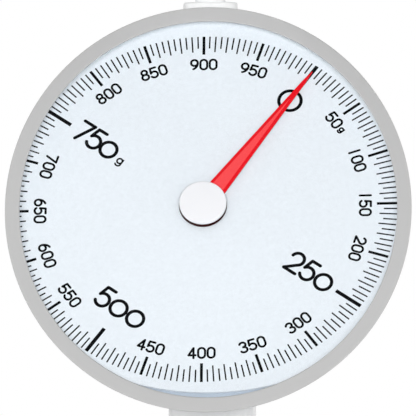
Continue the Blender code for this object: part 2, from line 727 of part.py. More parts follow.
def build_movement(movement):
    add(bush("front_bush", MOVEMENT_PLATE_FRONT - GAP, MOVEMENT_PLATE_BACK, -1), "brass", movement)
    add(bush("rear_bush", BRIDGE_BACK - GAP, BRIDGE_FRONT, 1), "brass", movement)

    arbor_back = BRIDGE_BACK - 4 * GAP
    arbor = rod("pinion_arbor", ARBOR_RADIUS, arbor_back, POINTER_HEIGHT + POINTER_THICKNESS)
    add(arbor, "steel", movement)
    pinion = plate("pinion_teeth", [pinion_outline()], PINION_LENGTH)
    pinion.data.transform(Matrix.Translation((0.0, 0.0, -RACK_SETBACK)))
    fuse(arbor, pinion)

    rack = plate("rack", [rack_outline()], RACK_THICKNESS)
    rack.data.transform(Matrix.Translation((0.0, 0.0, -RACK_SETBACK)))
    add(rack, "brass", movement)
    at = (0.0, RACK_PIN_HEIGHT, -RACK_SETBACK)
    pin_end = YOKE_END + PROUD - ARBOR_SHIFT
    fuse(rack, rod("rack_pin", RACK_PIN_RADIUS, RACK_BACK - SINK, pin_end, "X", at))

    half = PILLAR_OFFSET + BRIDGE_MARGIN
    outline = rounded_rectangle((-half, -BRIDGE_HEIGHT / 2), (half, BRIDGE_HEIGHT / 2), SHEET_CORNER, 3)
    holes = [circle((0.0, 0.0), BUSH_RADIUS + GAP)]
    for side, name in ((-1, "left"), (1, "right")):
        at = (side * PILLAR_OFFSET, 0.0, 0.0)
        holes.append(circle(at[:2], SMALL_SCREW_RADIUS + RUN))
        pillar_back = BRIDGE_FRONT + GAP
        pillar = rod(f"pillar_{name}", PILLAR_RADIUS, pillar_back, MOVEMENT_PLATE_BACK - GAP, "Z", at)
        add(pillar, "steel", movement)
        depth = pillar_back + 4 * SMALL_SCREW_RADIUS
        tapped = SMALL_SCREW_RADIUS + RUN
        cut(pillar, rod(f"pillar_{name}_hole", tapped, pillar_back - OVERCUT, depth + GAP, "Z", at))
        seat = BRIDGE_BACK - GAP
        head = seat - SMALL_HEAD_HEIGHT
        profile = [
            (0.0, head),
            (SMALL_HEAD_RADIUS, head),
            (SMALL_HEAD_RADIUS, seat),
            (SMALL_SCREW_RADIUS, seat),
            (SMALL_SCREW_RADIUS, depth),
            (0.0, depth),
        ]
        add(turned(f"bridge_screw_{name}", profile, "Z", PIN_SIDES), "steel", movement, at)
    middle = (BRIDGE_FRONT + BRIDGE_BACK) / 2
    add(plate("bridge_plate", [outline] + holes, BRIDGE_THICKNESS), "steel", movement, (0.0, 0.0, middle))

    guide_half = PINION_LENGTH / 2
    guide = ring("rack_guide", PILLAR_RADIUS + RUN, GUIDE_RADIUS, -guide_half, guide_half)
    add(guide, "nylon", movement, (PILLAR_OFFSET, 0.0, -RACK_SETBACK))


def build_carrier():
    middle = (0.0, 0.0, AXIS_HEIGHT)
    width = CARRIER_WIDTH / 2
    depth = CARRIER_DEPTH / 2
    boss_bottom = CARRIER_TOP - BOSS_HEIGHT
    bar_bottom = CARRIER_BOTTOM + CROSS_LIP
    bar = block("load_carrier", (-width, -depth, bar_bottom), (width, depth, boss_bottom + SINK))
    carrier = add(bar, "steel", location=middle)
    cross_depth = depth + CROSS_LIP
    cross_low = (-CROSS_HALF, -cross_depth, CARRIER_BOTTOM)
    cross_high = (CROSS_HALF, cross_depth, CARRIER_BOTTOM + CROSS_HEIGHT)
    fuse(carrier, block("carrier_cross", cross_low, cross_high))
    fuse(carrier, rod("carrier_boss", BOSS_RADIUS, boss_bottom, CARRIER_TOP, "Z", sides=ROUND_SIDES))

    pin_y = PIN_Y
    pin_z = PIN_Z - AXIS_HEIGHT
    slot_radius = RACK_PIN_RADIUS + SLOT_EASE
    low = (pin_y - PIN_SWEEP - slot_radius - YOKE_WALL, pin_z - YOKE_HEIGHT / 2)
    high = (depth, pin_z + YOKE_HEIGHT / 2)
    slot = stadium((pin_y - PIN_SWEEP / 2, pin_z), PIN_SWEEP / 2, slot_radius)
    yoke = plate("carrier_yoke", [rounded_rectangle(low, high, SHEET_CORNER, 3), slot], YOKE_THICKNESS)
    fuse(carrier, face_x(yoke, (YOKE_OFFSET + YOKE_THICKNESS / 2, 0.0, 0.0)))
    inset = YOKE_THICKNESS / 3
    link_low = (width - SINK, inset - depth, low[1] + SHEET_CORNER)
    link_high = (YOKE_END - inset, depth - inset, high[1] - SHEET_CORNER)
    fuse(carrier, block("carrier_link", link_low, link_high))

    holes = []
    for name, height in (("upper", UPPER_PIN_HEIGHT), ("lower", LOWER_PIN_HEIGHT)):
        at = (0.0, 0.0, height)
        holes.append(rod("pin_hole", LEVER_PIN_RADIUS + RUN, -width - OVERCUT, width + OVERCUT, "X", at))
        pin = rod(f"carrier_pin_{name}", LEVER_PIN_RADIUS, -LEVER_PIN_HALF, LEVER_PIN_HALF, "X", at)
        add(pin, "steel", location=middle)
    spigot_end = CARRIER_TOP - STEM_SPIGOT_LENGTH - GAP
    holes.append(rod("spigot_hole", STEM_SPIGOT_RADIUS + RUN, spigot_end, CARRIER_TOP + OVERCUT))
    cut(carrier, gathered("carrier_holes", holes))


def build_levers():
    slot_half = (LEVER_LENGTH - LEVER_SPAN) / 2
    slot_middle = (LEVER_LENGTH + LEVER_SPAN) / 2
    tube_half = CHASSIS_HALF - GAP
    for name, pin_height in (("upper", UPPER_PIN_HEIGHT), ("lower", LOWER_PIN_HEIGHT)):
        pivot = (0.0, LEVER_SPAN, AXIS_HEIGHT + pin_height - LEVER_RISE)
        tube = rod(f"{name}_lever", LEVER_TUBE_RADIUS, -tube_half, tube_half, "X", sides=ROUND_SIDES)
        lever = add(tube, "steel", location=pivot)
        lever.rotation_euler = (-LEVER_ANGLE, 0.0, 0.0)
        rear = arc((0.0, 0.0), LEVER_TUBE_RADIUS + LEVER_TUBE_WALL, -math.pi / 2, math.pi / 2, 8)
        front = arc((-slot_middle, 0.0), LEVER_END_RADIUS, math.pi / 2, 1.5 * math.pi, 8)
        slot = stadium((-slot_middle, 0.0), slot_half, LEVER_PIN_RADIUS + SLOT_EASE)
        for side in (-1, 1):
            arm = plate(f"{name}_lever_arm", [rear + front, slot], LEVER_ARM_THICKNESS)
            offset = side * (LEVER_ARM_OFFSET + LEVER_ARM_THICKNESS / 2)
            fuse(lever, face_x(arm, (offset, 0.0, 0.0)))
        bore_half = tube_half + OVERCUT
        cut(lever, rod(f"{name}_lever_bore", LEVER_PIVOT_RADIUS + RUN, -bore_half, bore_half, "X"))
        pin_half = CHASSIS_HALF + CHASSIS_SHEET + PROUD
        pin = rod(f"{name}_pivot_pin", LEVER_PIVOT_RADIUS, -pin_half, pin_half, "X")
        add(pin, "steel", location=pivot)


def build_chassis():
    inner = CHASSIS_HALF
    outer = CHASSIS_HALF + CHASSIS_SHEET
    wall = CHASSIS_BACK - CHASSIS_SHEET
    outline = [
        (outer, CHASSIS_FRONT),
        (outer, CHASSIS_BACK),
        (-outer, CHASSIS_BACK),
        (-outer, CHASSIS_FRONT),
        (-inner, CHASSIS_FRONT),
        (-inner, wall),
        (inner, wall),
        (inner, CHASSIS_FRONT),
    ]
    height = CHASSIS_TOP - CHASSIS_BOTTOM
    middle = (0.0, 0.0, AXIS_HEIGHT + (CHASSIS_TOP + CHASSIS_BOTTOM) / 2)
    chassis = add(plate("chassis", [outline], height), "steel", location=middle)
    holes = []
    for pin_height in (UPPER_PIN_HEIGHT, LOWER_PIN_HEIGHT):
        at = (0.0, LEVER_SPAN, AXIS_HEIGHT + pin_height - LEVER_RISE - middle[2])
        holes.append(rod("pivot_hole", LEVER_PIVOT_RADIUS + RUN, -outer - OVERCUT, outer + OVERCUT, "X", at))
    for side in (-1, 1):
        at = (0.0, 0.0, AXIS_HEIGHT + side * CHASSIS_SCREW_HEIGHT - middle[2])
        holes.append(rod("screw_hole", SCREW_RADIUS + RUN, wall - OVERCUT, CHASSIS_BACK + OVERCUT, "Y", at))
    at = (0.0, 0.0, ZERO_HEIGHT - middle[2])
    holes.append(rod("shaft_hole", ZERO_SHAFT_RADIUS + RUN, wall - OVERCUT, CHASSIS_BACK + OVERCUT, "Y", at))
    cut(chassis, gathered("chassis_holes", holes))


def build_zero_adjuster():
    half = CHASSIS_HALF - GAP
    outline = rounded_rectangle((-half, HANGER_FRONT), (half, HANGER_BACK), SHEET_CORNER, 3)
    hole = circle((0.0, 0.0), HANGER_HOLE_RADIUS, ROUND_SIDES)
    middle = (0.0, 0.0, AXIS_HEIGHT + HANGER_BOTTOM + HANGER_THICKNESS / 2)
    hanger = add(plate("spring_hanger", [outline, hole], HANGER_THICKNESS), "steel", location=middle)
    drop = HANGER_THICKNESS / 2 + HANGER_FLANGE_DROP
    flange_front = HANGER_BACK - HANGER_FLANGE
    flange_low = (-HANGER_FLANGE_HALF, flange_front, -drop)
    fuse(hanger, block("hanger_flange", flange_low, (HANGER_FLANGE_HALF, HANGER_BACK, 0.0)))
    reach = ZERO_THROW * (1 - math.cos(ZERO_SWING)) / 2
    slot = plate(
        "hanger_slot",
        [stadium((ZERO_THROW - reach, 0.0), reach, ZERO_PIN_RADIUS + SLOT_EASE)],
        HANGER_FLANGE * 2,
    )
    place = Matrix.Translation((0.0, HANGER_BACK - HANGER_FLANGE / 2, ZERO_HEIGHT - middle[2]))
    slot.data.transform(place @ Matrix.Rotation(math.radians(90.0), 4, "X"))
    cut(hanger, slot)

    axis = (0.0, 0.0, ZERO_HEIGHT)
    knob_front = COVER_BACK + GAP
    knob_back = knob_front + KNOB_DEPTH
    shaft_end = knob_back - KNOB_END_WALL - GAP
    shaft = rod("zero_shaft", ZERO_SHAFT_RADIUS, ZERO_DISC_FRONT + SINK, shaft_end, "Y")
    add(shaft, "steel", location=axis)
    disc_back = ZERO_DISC_FRONT + ZERO_DISC_DEPTH
    fuse(shaft, rod("zero_disc", ZERO_DISC_RADIUS, ZERO_DISC_FRONT, disc_back, "Y", sides=ROUND_SIDES))
    pin_front = flange_front - PROUD
    at = (ZERO_THROW, 0.0, 0.0)
    fuse(shaft, rod("zero_pin", ZERO_PIN_RADIUS, pin_front, ZERO_DISC_FRONT + SINK, "Y", at))

    grip = []
    for i in range(KNOB_GRIPS * 4):
        angle = 2 * math.pi * i / (KNOB_GRIPS * 4)
        radius = KNOB_RADIUS - KNOB_GRIP_DEPTH * (0.5 - 0.5 * math.cos(KNOB_GRIPS * angle))
        grip.append((radius * math.cos(angle), radius * math.sin(angle)))
    knob = plate("zero_knob", [grip], KNOB_DEPTH)
    along = Matrix.Translation((0.0, (knob_front + knob_back) / 2, 0.0))
    knob.data.transform(along @ Matrix.Rotation(math.radians(90.0), 4, "X"))
    add(knob, "grey_plastic", location=axis)
    cut(knob, rod("zero_knob_bore", ZERO_SHAFT_RADIUS + RUN, knob_front - OVERCUT, shaft_end + GAP, "Y"))


# Open coil with straight tails, from bottom to top, and its least gap to itself
def build_springs():
    bottom = AXIS_HEIGHT + CARRIER_BOTTOM + CROSS_HEIGHT + GAP
    top = AXIS_HEIGHT + HANGER_BOTTOM - GAP
    coil_bottom = bottom + SPRING_TAIL
    coil_top = top - SPRING_TAIL
    count = SPRING_COILS * SPRING_COIL_POINTS
    path = [Vector((0.0, 0.0, bottom)), Vector((0.0, 0.0, coil_bottom - 2 * SPRING_WIRE))]
    for i in range(count + 1):
        angle = 2 * math.pi * i / SPRING_COIL_POINTS
        height = coil_bottom + (coil_top - coil_bottom) * i / count
        path.append(Vector((SPRING_RADIUS * math.cos(angle), SPRING_RADIUS * math.sin(angle), height)))
    path += [Vector((0.0, 0.0, coil_top + 2 * SPRING_WIRE)), Vector((0.0, 0.0, top))]
    least = min(
        (path[i] - path[j]).length
        for i in range(len(path))
        for j in range(i + SPRING_COIL_POINTS // 2 + 1, len(path))
    )
    print(f"main springs: least gap between turns {(least - SPRING_WIRE) * 1000:.2f} mm")
    for side, name in ((-1, "left"), (1, "right")):
        curve = bpy.data.curves.new(f"main_spring_{name}", "CURVE")
        curve.dimensions = "3D"
        curve.bevel_depth = SPRING_WIRE / 2
        curve.bevel_resolution = 1
        curve.use_fill_caps = True
        spline = curve.splines.new("POLY")
        spline.points.add(len(path) - 1)
        for point, place in zip(spline.points, path):
            point.co = (side * place.x, place.y, place.z, 1.0)
        spring = baked(bpy.data.objects.new(f"main_spring_{name}", curve))
        add(spring, "spring_steel", location=(side * SPRING_OFFSET, 0.0, 0.0))


def build_stem():
    spigot_top = AXIS_HEIGHT + CARRIER_TOP
    stem_top = SEAT_BOTTOM - GAP
    profile = [
        (0.0, spigot_top - STEM_SPIGOT_LENGTH),
        (STEM_SPIGOT_RADIUS, spigot_top - STEM_SPIGOT_LENGTH),
        (STEM_SPIGOT_RADIUS, spigot_top + GAP),
        (STEM_RADIUS, spigot_top + GAP),
        (STEM_RADIUS, stem_top),
        (0.0, stem_top),
    ]
    stem = add(turned("pan_stem", profile), "white_enamel")
    head_seat = SEAT_TOP - SEAT_HEAD_HEIGHT - GAP
    screw_end = head_seat - SEAT_SCREW_LENGTH
    cut(stem, rod("stem_thread", SEAT_SCREW_RADIUS + RUN, screw_end - GAP, stem_top + OVERCUT))

    flange_bottom = SHELL_TOP - COLLAR_FLANGE_HEIGHT
    flange = rod("stem_collar", COLLAR_FLANGE_RADIUS, flange_bottom, COLLAR_TOP, sides=ROUND_SIDES)
    collar = add(flange, "white_plastic")
    axis = (0.0, 0.0, AXIS_HEIGHT)
    cut(collar, rod("collar_seat", SHELL_RADIUS + GAP, -SHELL_RADIUS, SHELL_RADIUS, "Y", axis, DRUM_SIDES))
    barrel_bottom = SHELL_TOP - COLLAR_REACH
    fuse(collar, rod("collar_barrel", COLLAR_RADIUS, barrel_bottom, COLLAR_TOP - SINK, sides=ROUND_SIDES))
    bore_bottom = barrel_bottom - OVERCUT
    cut(collar, rod("collar_bore", STEM_HOLE, bore_bottom, COLLAR_TOP + OVERCUT, sides=ROUND_SIDES))

    bore = SEAT_SCREW_RADIUS + RUN
    recess = SEAT_HEAD_RADIUS + GAP
    rim = SEAT_RADIUS - SEAT_RIM_WALL
    seat = [
        (bore, SEAT_BOTTOM),
        (SEAT_HUB_RADIUS, SEAT_BOTTOM),
        (SEAT_HUB_RADIUS, SEAT_FLOOR),
        (SEAT_RADIUS, SEAT_FLOOR),
        (SEAT_RADIUS, SEAT_TOP + SEAT_RIM_HEIGHT),
        (rim, SEAT_TOP + SEAT_RIM_HEIGHT),
        (rim, SEAT_TOP),
        (recess, SEAT_TOP),
        (recess, head_seat),
        (bore, head_seat),
    ]
    add(turned("pan_seat", seat, "Z", DRUM_SIDES), "white_plastic")
    screw = [
        (0.0, screw_end),
        (SEAT_SCREW_RADIUS, screw_end),
        (SEAT_SCREW_RADIUS, head_seat + GAP),
        (SEAT_HEAD_RADIUS, head_seat + GAP),
        (SEAT_HEAD_RADIUS, SEAT_TOP),
        (0.0, SEAT_TOP),
    ]
    add(turned("seat_screw", screw, "Z", PIN_SIDES), "steel")


# Pressed dish: a foot that drops into the seat, a floor, a rounded wall and a flat lip
def build_pan():
    floor = SEAT_TOP + SEAT_RIM_HEIGHT + PAN_RIM_GAP
    wall = PAN_RADIUS - PAN_LIP
    reach = wall - PAN_FLOOR_RADIUS
    height = PAN_BOTTOM + PAN_DEPTH - PAN_SHEET - floor
    profile = [
        (0.0, PAN_BOTTOM),
        (PAN_FOOT_RADIUS - 2 * PAN_SHEET, PAN_BOTTOM),
        (PAN_FOOT_RADIUS, floor),
    ]
    for i in range(PAN_STEPS + 1):
        angle = math.pi / 2 * i / PAN_STEPS
        profile.append((PAN_FLOOR_RADIUS + reach * math.sin(angle), floor + height * (1 - math.cos(angle))))
    profile.append((PAN_RADIUS, PAN_BOTTOM + PAN_DEPTH - PAN_SHEET))
    pan = turned("weighing_pan", profile, "Z", DRUM_SIDES)
    thicken = pan.modifiers.new("Sheet", "SOLIDIFY")
    thicken.thickness = PAN_SHEET
    thicken.offset = 1.0
    add(pan, "pan_steel")


def build_pedestal():
    low = (-BASE_HALF_WIDTH, BASE_FRONT)
    high = (BASE_HALF_WIDTH, BASE_BACK)
    base = plate("foot_plate", [rounded_rectangle(low, high, BASE_CORNER)], BASE_THICKNESS)
    add(base, "white_enamel", location=(0.0, 0.0, (BASE_BOTTOM + BASE_TOP) / 2))
    bevel = base.modifiers.new("Edges", "BEVEL")
    bevel.width = BASE_ROUNDING
    bevel.segments = 2
    bevel.limit_method = "ANGLE"

    bottom = BASE_TOP + GAP
    saddle = AXIS_HEIGHT - math.sqrt(SHELL_RADIUS**2 - PEDESTAL_HALF_WIDTH**2) + OVERCUT
    outline = rounded_rectangle(
        (-PEDESTAL_HALF_WIDTH, -PEDESTAL_HALF_DEPTH),
        (PEDESTAL_HALF_WIDTH, PEDESTAL_HALF_DEPTH),
        PEDESTAL_CORNER,
    )
    middle = (bottom + saddle) / 2
    pedestal = add(plate("pedestal", [outline], saddle - bottom), "white_enamel", location=(0.0, 0.0, middle))
    drum = rod(
        "pedestal_seat",
        SHELL_RADIUS + GAP,
        -2 * PEDESTAL_HALF_DEPTH,
        2 * PEDESTAL_HALF_DEPTH,
        "Y",
        (0.0, 0.0, AXIS_HEIGHT - middle),
        DRUM_SIDES,
    )
    cut(pedestal, drum)

    base_middle = (BASE_BOTTOM + BASE_TOP) / 2
    recess_top = BOLT_HEAD_TOP + GAP - base_middle
    recesses = []
    base_holes = []
    pedestal_holes = []
    hole_half = (saddle - bottom) / 2 + OVERCUT
    bolt_top = NUT_BOTTOM + NUT_HEIGHT + BOLT_EXTRA
    for side, name in ((-1, "front"), (1, "rear")):
        at = (0.0, side * BOLT_SPACING / 2, 0.0)
        recesses.append(rod("recess", BOLT_HEAD_RADIUS + GAP, -BASE_THICKNESS, recess_top, "Z", at))
        base_holes.append(rod("hole", BOLT_RADIUS + RUN, -BASE_THICKNESS, BASE_THICKNESS, "Z", at))
        pedestal_holes.append(rod("hole", BOLT_RADIUS + RUN, -hole_half, hole_half, "Z", at))
        bolt = [
            (0.0, BOLT_HEAD_BOTTOM),
            (BOLT_HEAD_RADIUS, BOLT_HEAD_BOTTOM),
            (BOLT_HEAD_RADIUS, BOLT_HEAD_TOP),
            (BOLT_RADIUS, BOLT_HEAD_TOP),
            (BOLT_RADIUS, bolt_top),
            (0.0, bolt_top),
        ]
        add(turned(f"pedestal_bolt_{name}", bolt, "Z", PIN_SIDES), "steel", location=at)
        hexagon = circle(at, NUT_RADIUS, 6)
        nut = plate(f"pedestal_nut_{name}", [hexagon, circle(at, BOLT_RADIUS + RUN)], NUT_HEIGHT)
        add(nut, "steel", location=(0.0, 0.0, NUT_BOTTOM + NUT_HEIGHT / 2))
    cut(base, gathered("base_recesses", recesses))
    cut(base, gathered("base_holes", base_holes))
    cut(pedestal, gathered("pedestal_holes", pedestal_holes))

    edge = FOOT_HEIGHT / 4
    profile = [
        (0.0, 0.0),
        (FOOT_RADIUS - edge, 0.0),
        (FOOT_RADIUS, edge),
        (FOOT_RADIUS, FOOT_HEIGHT),
        (0.0, FOOT_HEIGHT),
    ]
    for x, side in ((low[0] + FOOT_INSET, "left"), (high[0] - FOOT_INSET, "right")):
        for y, end in ((low[1] + FOOT_INSET, "front"), (high[1] - FOOT_INSET, "rear")):
            foot = turned(f"rubber_foot_{end}_{side}", profile, "Z", PIN_SIDES)
            add(foot, "black_rubber", location=(x, y, 0.0))

    stop = rod("overload_stop", STOP_RADIUS, STOP_BOTTOM, STOP_TOP)
    add(stop, "black_rubber")


def main():
    start_scene()
    movement = empty("movement_frame", DIAL_PLACE, math.pi / 2 - SLANT)
    build_drum()
    build_rear_cover()
    build_dial(movement)
    build_pointer(movement)
    build_movement(movement)
    build_carrier()
    build_levers()
    build_chassis()
    build_zero_adjuster()
    build_springs()
    build_stem()
    build_pan()
    build_pedestal()
    print(f"pan travel {PAN_TRAVEL * 1000:.3f} mm, rack travel {RACK_TRAVEL * 1000:.3f} mm")
    print(f"lever swing {math.degrees(2 * LEVER_ANGLE):.3f} degrees")


main()
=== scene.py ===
import json
import math

import bmesh
import bpy
from mathutils import Matrix, Vector


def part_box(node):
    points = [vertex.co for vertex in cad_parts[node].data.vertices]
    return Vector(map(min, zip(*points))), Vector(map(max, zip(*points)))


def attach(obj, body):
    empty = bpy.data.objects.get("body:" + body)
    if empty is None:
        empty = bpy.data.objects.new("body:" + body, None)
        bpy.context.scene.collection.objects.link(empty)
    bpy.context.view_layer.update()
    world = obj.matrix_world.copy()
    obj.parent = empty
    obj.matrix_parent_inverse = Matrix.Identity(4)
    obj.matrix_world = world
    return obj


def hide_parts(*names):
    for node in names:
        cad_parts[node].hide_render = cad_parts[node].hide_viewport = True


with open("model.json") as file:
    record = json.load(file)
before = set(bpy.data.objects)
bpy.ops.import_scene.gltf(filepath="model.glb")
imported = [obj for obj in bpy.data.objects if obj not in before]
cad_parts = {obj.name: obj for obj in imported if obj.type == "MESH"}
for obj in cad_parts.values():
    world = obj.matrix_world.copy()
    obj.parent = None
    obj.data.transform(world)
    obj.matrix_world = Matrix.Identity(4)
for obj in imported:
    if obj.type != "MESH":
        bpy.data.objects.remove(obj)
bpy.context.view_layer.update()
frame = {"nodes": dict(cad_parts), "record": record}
nodes = frame["nodes"]
scene = bpy.context.scene
print("frame loaded,", len(nodes), "nodes")

gap = 0.0003  # air between neighbouring pieces
samePoint = 1e-7  # points nearer than this are one
sliver = 1e-6  # edges shorter than this are dropped

# the drum's axis runs along Y, and its front and dial lean back from the viewer
jointRows = {row["name"]: row for row in frame["record"]["behaviour"]["joints"]}
pointerJoint = jointRows["pointer_turn"]
dialPlace = Vector(pointerJoint["pos_m"])
cosSlant = pointerJoint["axis"][1]
sinSlant = -pointerJoint["axis"][2]
tanSlant = sinSlant / cosSlant
drum = {
    "radius": 0.065,
    "bore": 0.0638,
    "back": 0.045,
    "dialDepth": 0.0117,  # the dial lies this far behind the rim
    "sides": 192,
}
axisHeight = dialPlace.z
rimY = dialPlace.y - drum["dialDepth"]
drumPlace = Matrix.Translation((0.0, rimY, axisHeight))
dialFrame = Matrix((
    (1.0, 0.0, 0.0, dialPlace.x),
    (0.0, sinSlant, -cosSlant, dialPlace.y),
    (0.0, cosSlant, sinSlant, dialPlace.z),
    (0.0, 0.0, 0.0, 1.0),
))

# where the print and the pointer stand on the dial
reading = {
    "zero": math.radians(35.55),  # clockwise from straight up
    "pointer": math.radians(35.95),
    "pull": 0.0101,  # the print is a hair wider from lower left to upper right
    "shift": -0.00012,
}
pull = Matrix.Identity(4)
pull[0][1] = reading["pull"]
pull[1][0] = reading["pull"]
pull[0][3] = reading["shift"]
printTurn = Matrix.Rotation(-reading["zero"], 4, "Z")
scaleFrame = dialFrame @ pull @ printTurn
pointerFrame = dialFrame @ Matrix.Rotation(-reading["pointer"], 4, "Z")


# a shader node with its sockets set, or linked where another node's socket is given
def addNode(tree, kind, sockets=None, operation=None):
    node = tree.nodes.new("ShaderNode" + kind)
    if operation:
        node.operation = operation
    for name, value in (sockets or {}).items():
        if isinstance(value, bpy.types.NodeSocket):
            tree.links.new(value, node.inputs[name])
        else:
            node.inputs[name].default_value = value
    return node


# what a finish has unless its own row says otherwise
plainLook = {
    "metal": 0.0,
    "specular": 0.5,
    "coat": 0.0,
    "coatRough": 0.1,
    "alpha": 1.0,
    "stretch": None,
    "spun": False,
    "detail": 4.0,
    "cloud": 40.0,
    "spread": 0.02,
    "roughSpread": 0.05,
    "bump": 0.0,
    "bumpStrength": 0.4,
}
shaderSockets = {
    "Metallic": "metal",
    "Specular IOR Level": "specular",
    "Coat Weight": "coat",
    "Coat Roughness": "coatRough",
    "Alpha": "alpha",
}
noiseMix = {"grainShare": 0.5, "tintLow": 0.3, "tintHigh": 0.7}


# colour, gloss and surface are broken up by noise in the piece's own space
def makeFinish(name, row):
    look = {**plainLook, **row}
    finish = bpy.data.materials.new(name)
    finish.use_nodes = True
    tree = finish.node_tree
    shader = tree.nodes["Principled BSDF"]
    for socket, key in shaderSockets.items():
        shader.inputs[socket].default_value = look[key]
    place = addNode(tree, "TexCoord").outputs["Object"]
    if look["stretch"]:  # drawn or brushed along one way
        place = addNode(tree, "Mapping", {"Vector": place, "Scale": look["stretch"]}).outputs["Vector"]
    if look["spun"]:  # rings about the stem
        parts = addNode(tree, "SeparateXYZ", {"Vector": place}).outputs
        flat = addNode(tree, "CombineXYZ", {"X": parts["X"], "Y": parts["Y"]})
        radius = addNode(tree, "VectorMath", {0: flat.outputs["Vector"]}, "LENGTH")
        rings = addNode(tree, "CombineXYZ", {"X": radius.outputs["Value"], "Z": parts["Z"]})
        place = rings.outputs["Vector"]
    grain = addNode(tree, "TexNoise", {"Vector": place, "Scale": look["grain"], "Detail": look["detail"]})
    cloud = addNode(tree, "TexNoise", {"Vector": place, "Scale": look["cloud"]})
    share = noiseMix["grainShare"]
    rest = addNode(tree, "Math", {0: cloud.outputs["Fac"], 1: 1.0 - share}, "MULTIPLY")
    blend = addNode(tree, "Math", {0: grain.outputs["Fac"], 1: share, 2: rest.outputs[0]}, "MULTIPLY_ADD")
    tint = addNode(tree, "ValToRGB", {"Fac": blend.outputs[0]})
    ends = ((noiseMix["tintLow"], 1.0 - look["spread"]), (noiseMix["tintHigh"], 1.0 + look["spread"]))
    for stop, (position, factor) in zip(tint.color_ramp.elements, ends):
        stop.position = position
        stop.color = [min(1.0, channel * factor) for channel in look["colour"]] + [1.0]
    tree.links.new(tint.outputs["Color"], shader.inputs["Base Color"])
    gloss = addNode(tree, "MapRange", {
        "Value": blend.outputs[0],
        "To Min": look["rough"] - look["roughSpread"],
        "To Max": look["rough"] + look["roughSpread"],
    })
    tree.links.new(gloss.outputs["Result"], shader.inputs["Roughness"])
    if look["bump"]:
        bump = addNode(tree, "Bump", {
            "Height": grain.outputs["Fac"],
            "Strength": look["bumpStrength"],
            "Distance": look["bump"],
        })
        tree.links.new(bump.outputs["Normal"], shader.inputs["Normal"])
    return finish


finishLooks = {
    "whiteEnamel": {"colour": (0.89, 0.895, 0.90), "rough": 0.30, "grain": 420, "detail": 1.0,
                    "bump": 0.00003, "bumpStrength": 0.12, "coat": 0.3, "spread": 0.014},
    "whitePlastic": {"colour": (0.88, 0.885, 0.885), "rough": 0.42, "grain": 2600, "bump": 0.00002,
                     "spread": 0.012},
    "greyPlastic": {"colour": (0.495, 0.495, 0.495), "rough": 0.5, "grain": 3000, "bump": 0.00002,
                    "spread": 0.012},
    "clearLens": {"colour": (0.10, 0.105, 0.11), "rough": 0.08, "grain": 60, "roughSpread": 0.02,
                  "alpha": 0.012},
    "dialPaint": {"colour": (0.84, 0.90, 0.955), "rough": 0.6, "specular": 0.25, "grain": 1300,
                  "detail": 2.0, "cloud": 700, "bump": 0.00001, "spread": 0.04},
    # painted shade: the blue-grey plate seen in the gap below the dial is coloured darker to stand for the
    # shade in that gap
    "blueGreyPaintedShade": {"colour": (0.51, 0.585, 0.675), "rough": 0.5, "grain": 1200, "bump": 0.00002,
                  "spread": 0.04},
    "redPaint": {"colour": (0.965, 0.075, 0.082), "rough": 0.55, "specular": 0.2, "grain": 1800,
                 "bump": 0.00001},
    # painted shade: the pointer's sloping edge is coloured a darker red to stand for shading on the bevel
    "redEdgePaintedShade": {"colour": (0.84, 0.006, 0.014), "rough": 0.5, "specular": 0.1, "grain": 1800,
                "bump": 0.00001, "spread": 0.05},
    # painted shadow: near-black red for the hub's side under the cap and the pointer's edge beneath it
    "hubPaintedShadow": {"colour": (0.03, 0.0006, 0.0006), "rough": 0.5, "specular": 0.1, "grain": 1800,
                 "bump": 0.00001, "spread": 0.05},
    "capPlastic": {"colour": (0.905, 0.91, 0.94), "rough": 0.5, "grain": 2000, "bump": 0.00001,
                   "spread": 0.008},
    "blackInk": {"colour": (0.003, 0.0032, 0.004), "rough": 0.7, "specular": 0.03, "grain": 4000,
                 "spread": 0.15},
    "blackRubber": {"colour": (0.028, 0.028, 0.03), "rough": 0.8, "grain": 1800, "bump": 0.00006,
                    "spread": 0.15},
    "platedSteel": {"colour": (0.62, 0.62, 0.63), "metal": 1.0, "rough": 0.33, "roughSpread": 0.08,
                    "grain": 900, "stretch": (1.0, 1.0, 0.08), "bump": 0.00001, "spread": 0.06},
    "springWire": {"colour": (0.40, 0.41, 0.43), "metal": 1.0, "rough": 0.3, "grain": 1500,
                   "bump": 0.00001, "spread": 0.08},
    "turnedBrass": {"colour": (0.72, 0.52, 0.22), "metal": 1.0, "rough": 0.28, "grain": 1500,
                    "stretch": (1.0, 1.0, 0.1), "bump": 0.00001, "spread": 0.06},
    "nylon": {"colour": (0.80, 0.80, 0.76), "rough": 0.5, "grain": 1500, "bump": 0.00001},
    "spunSteel": {"colour": (0.56, 0.565, 0.57), "metal": 1.0, "rough": 0.27, "roughSpread": 0.09,
                  "grain": 2600, "detail": 2.0, "spun": True, "bump": 0.000012, "bumpStrength": 0.25,
                  "spread": 0.05},
}
finishes = {name: makeFinish(name, row) for name, row in finishLooks.items()}
slotFinish = {
    "white_enamel": "whiteEnamel",
    "white_plastic": "whitePlastic",
    "grey_plastic": "greyPlastic",
    "clear_lens": "clearLens",
    "dial_white": "dialPaint",
    "pale_blue_grey": "blueGreyPaintedShade",
    "pointer_red": "redPaint",
    "cap_white": "capPlastic",
    "black_rubber": "blackRubber",
    "steel": "platedSteel",
    "spring_steel": "springWire",
    "brass": "turnedBrass",
    "nylon": "nylon",
    "pan_steel": "spunSteel",
}
for row in frame["record"]["subparts"]:
    mesh = nodes[row["node"]].data
    mesh.materials.clear()
    mesh.materials.append(finishes[slotFinish[row["material_slot"]]])
print("finishes made,", len(finishes))


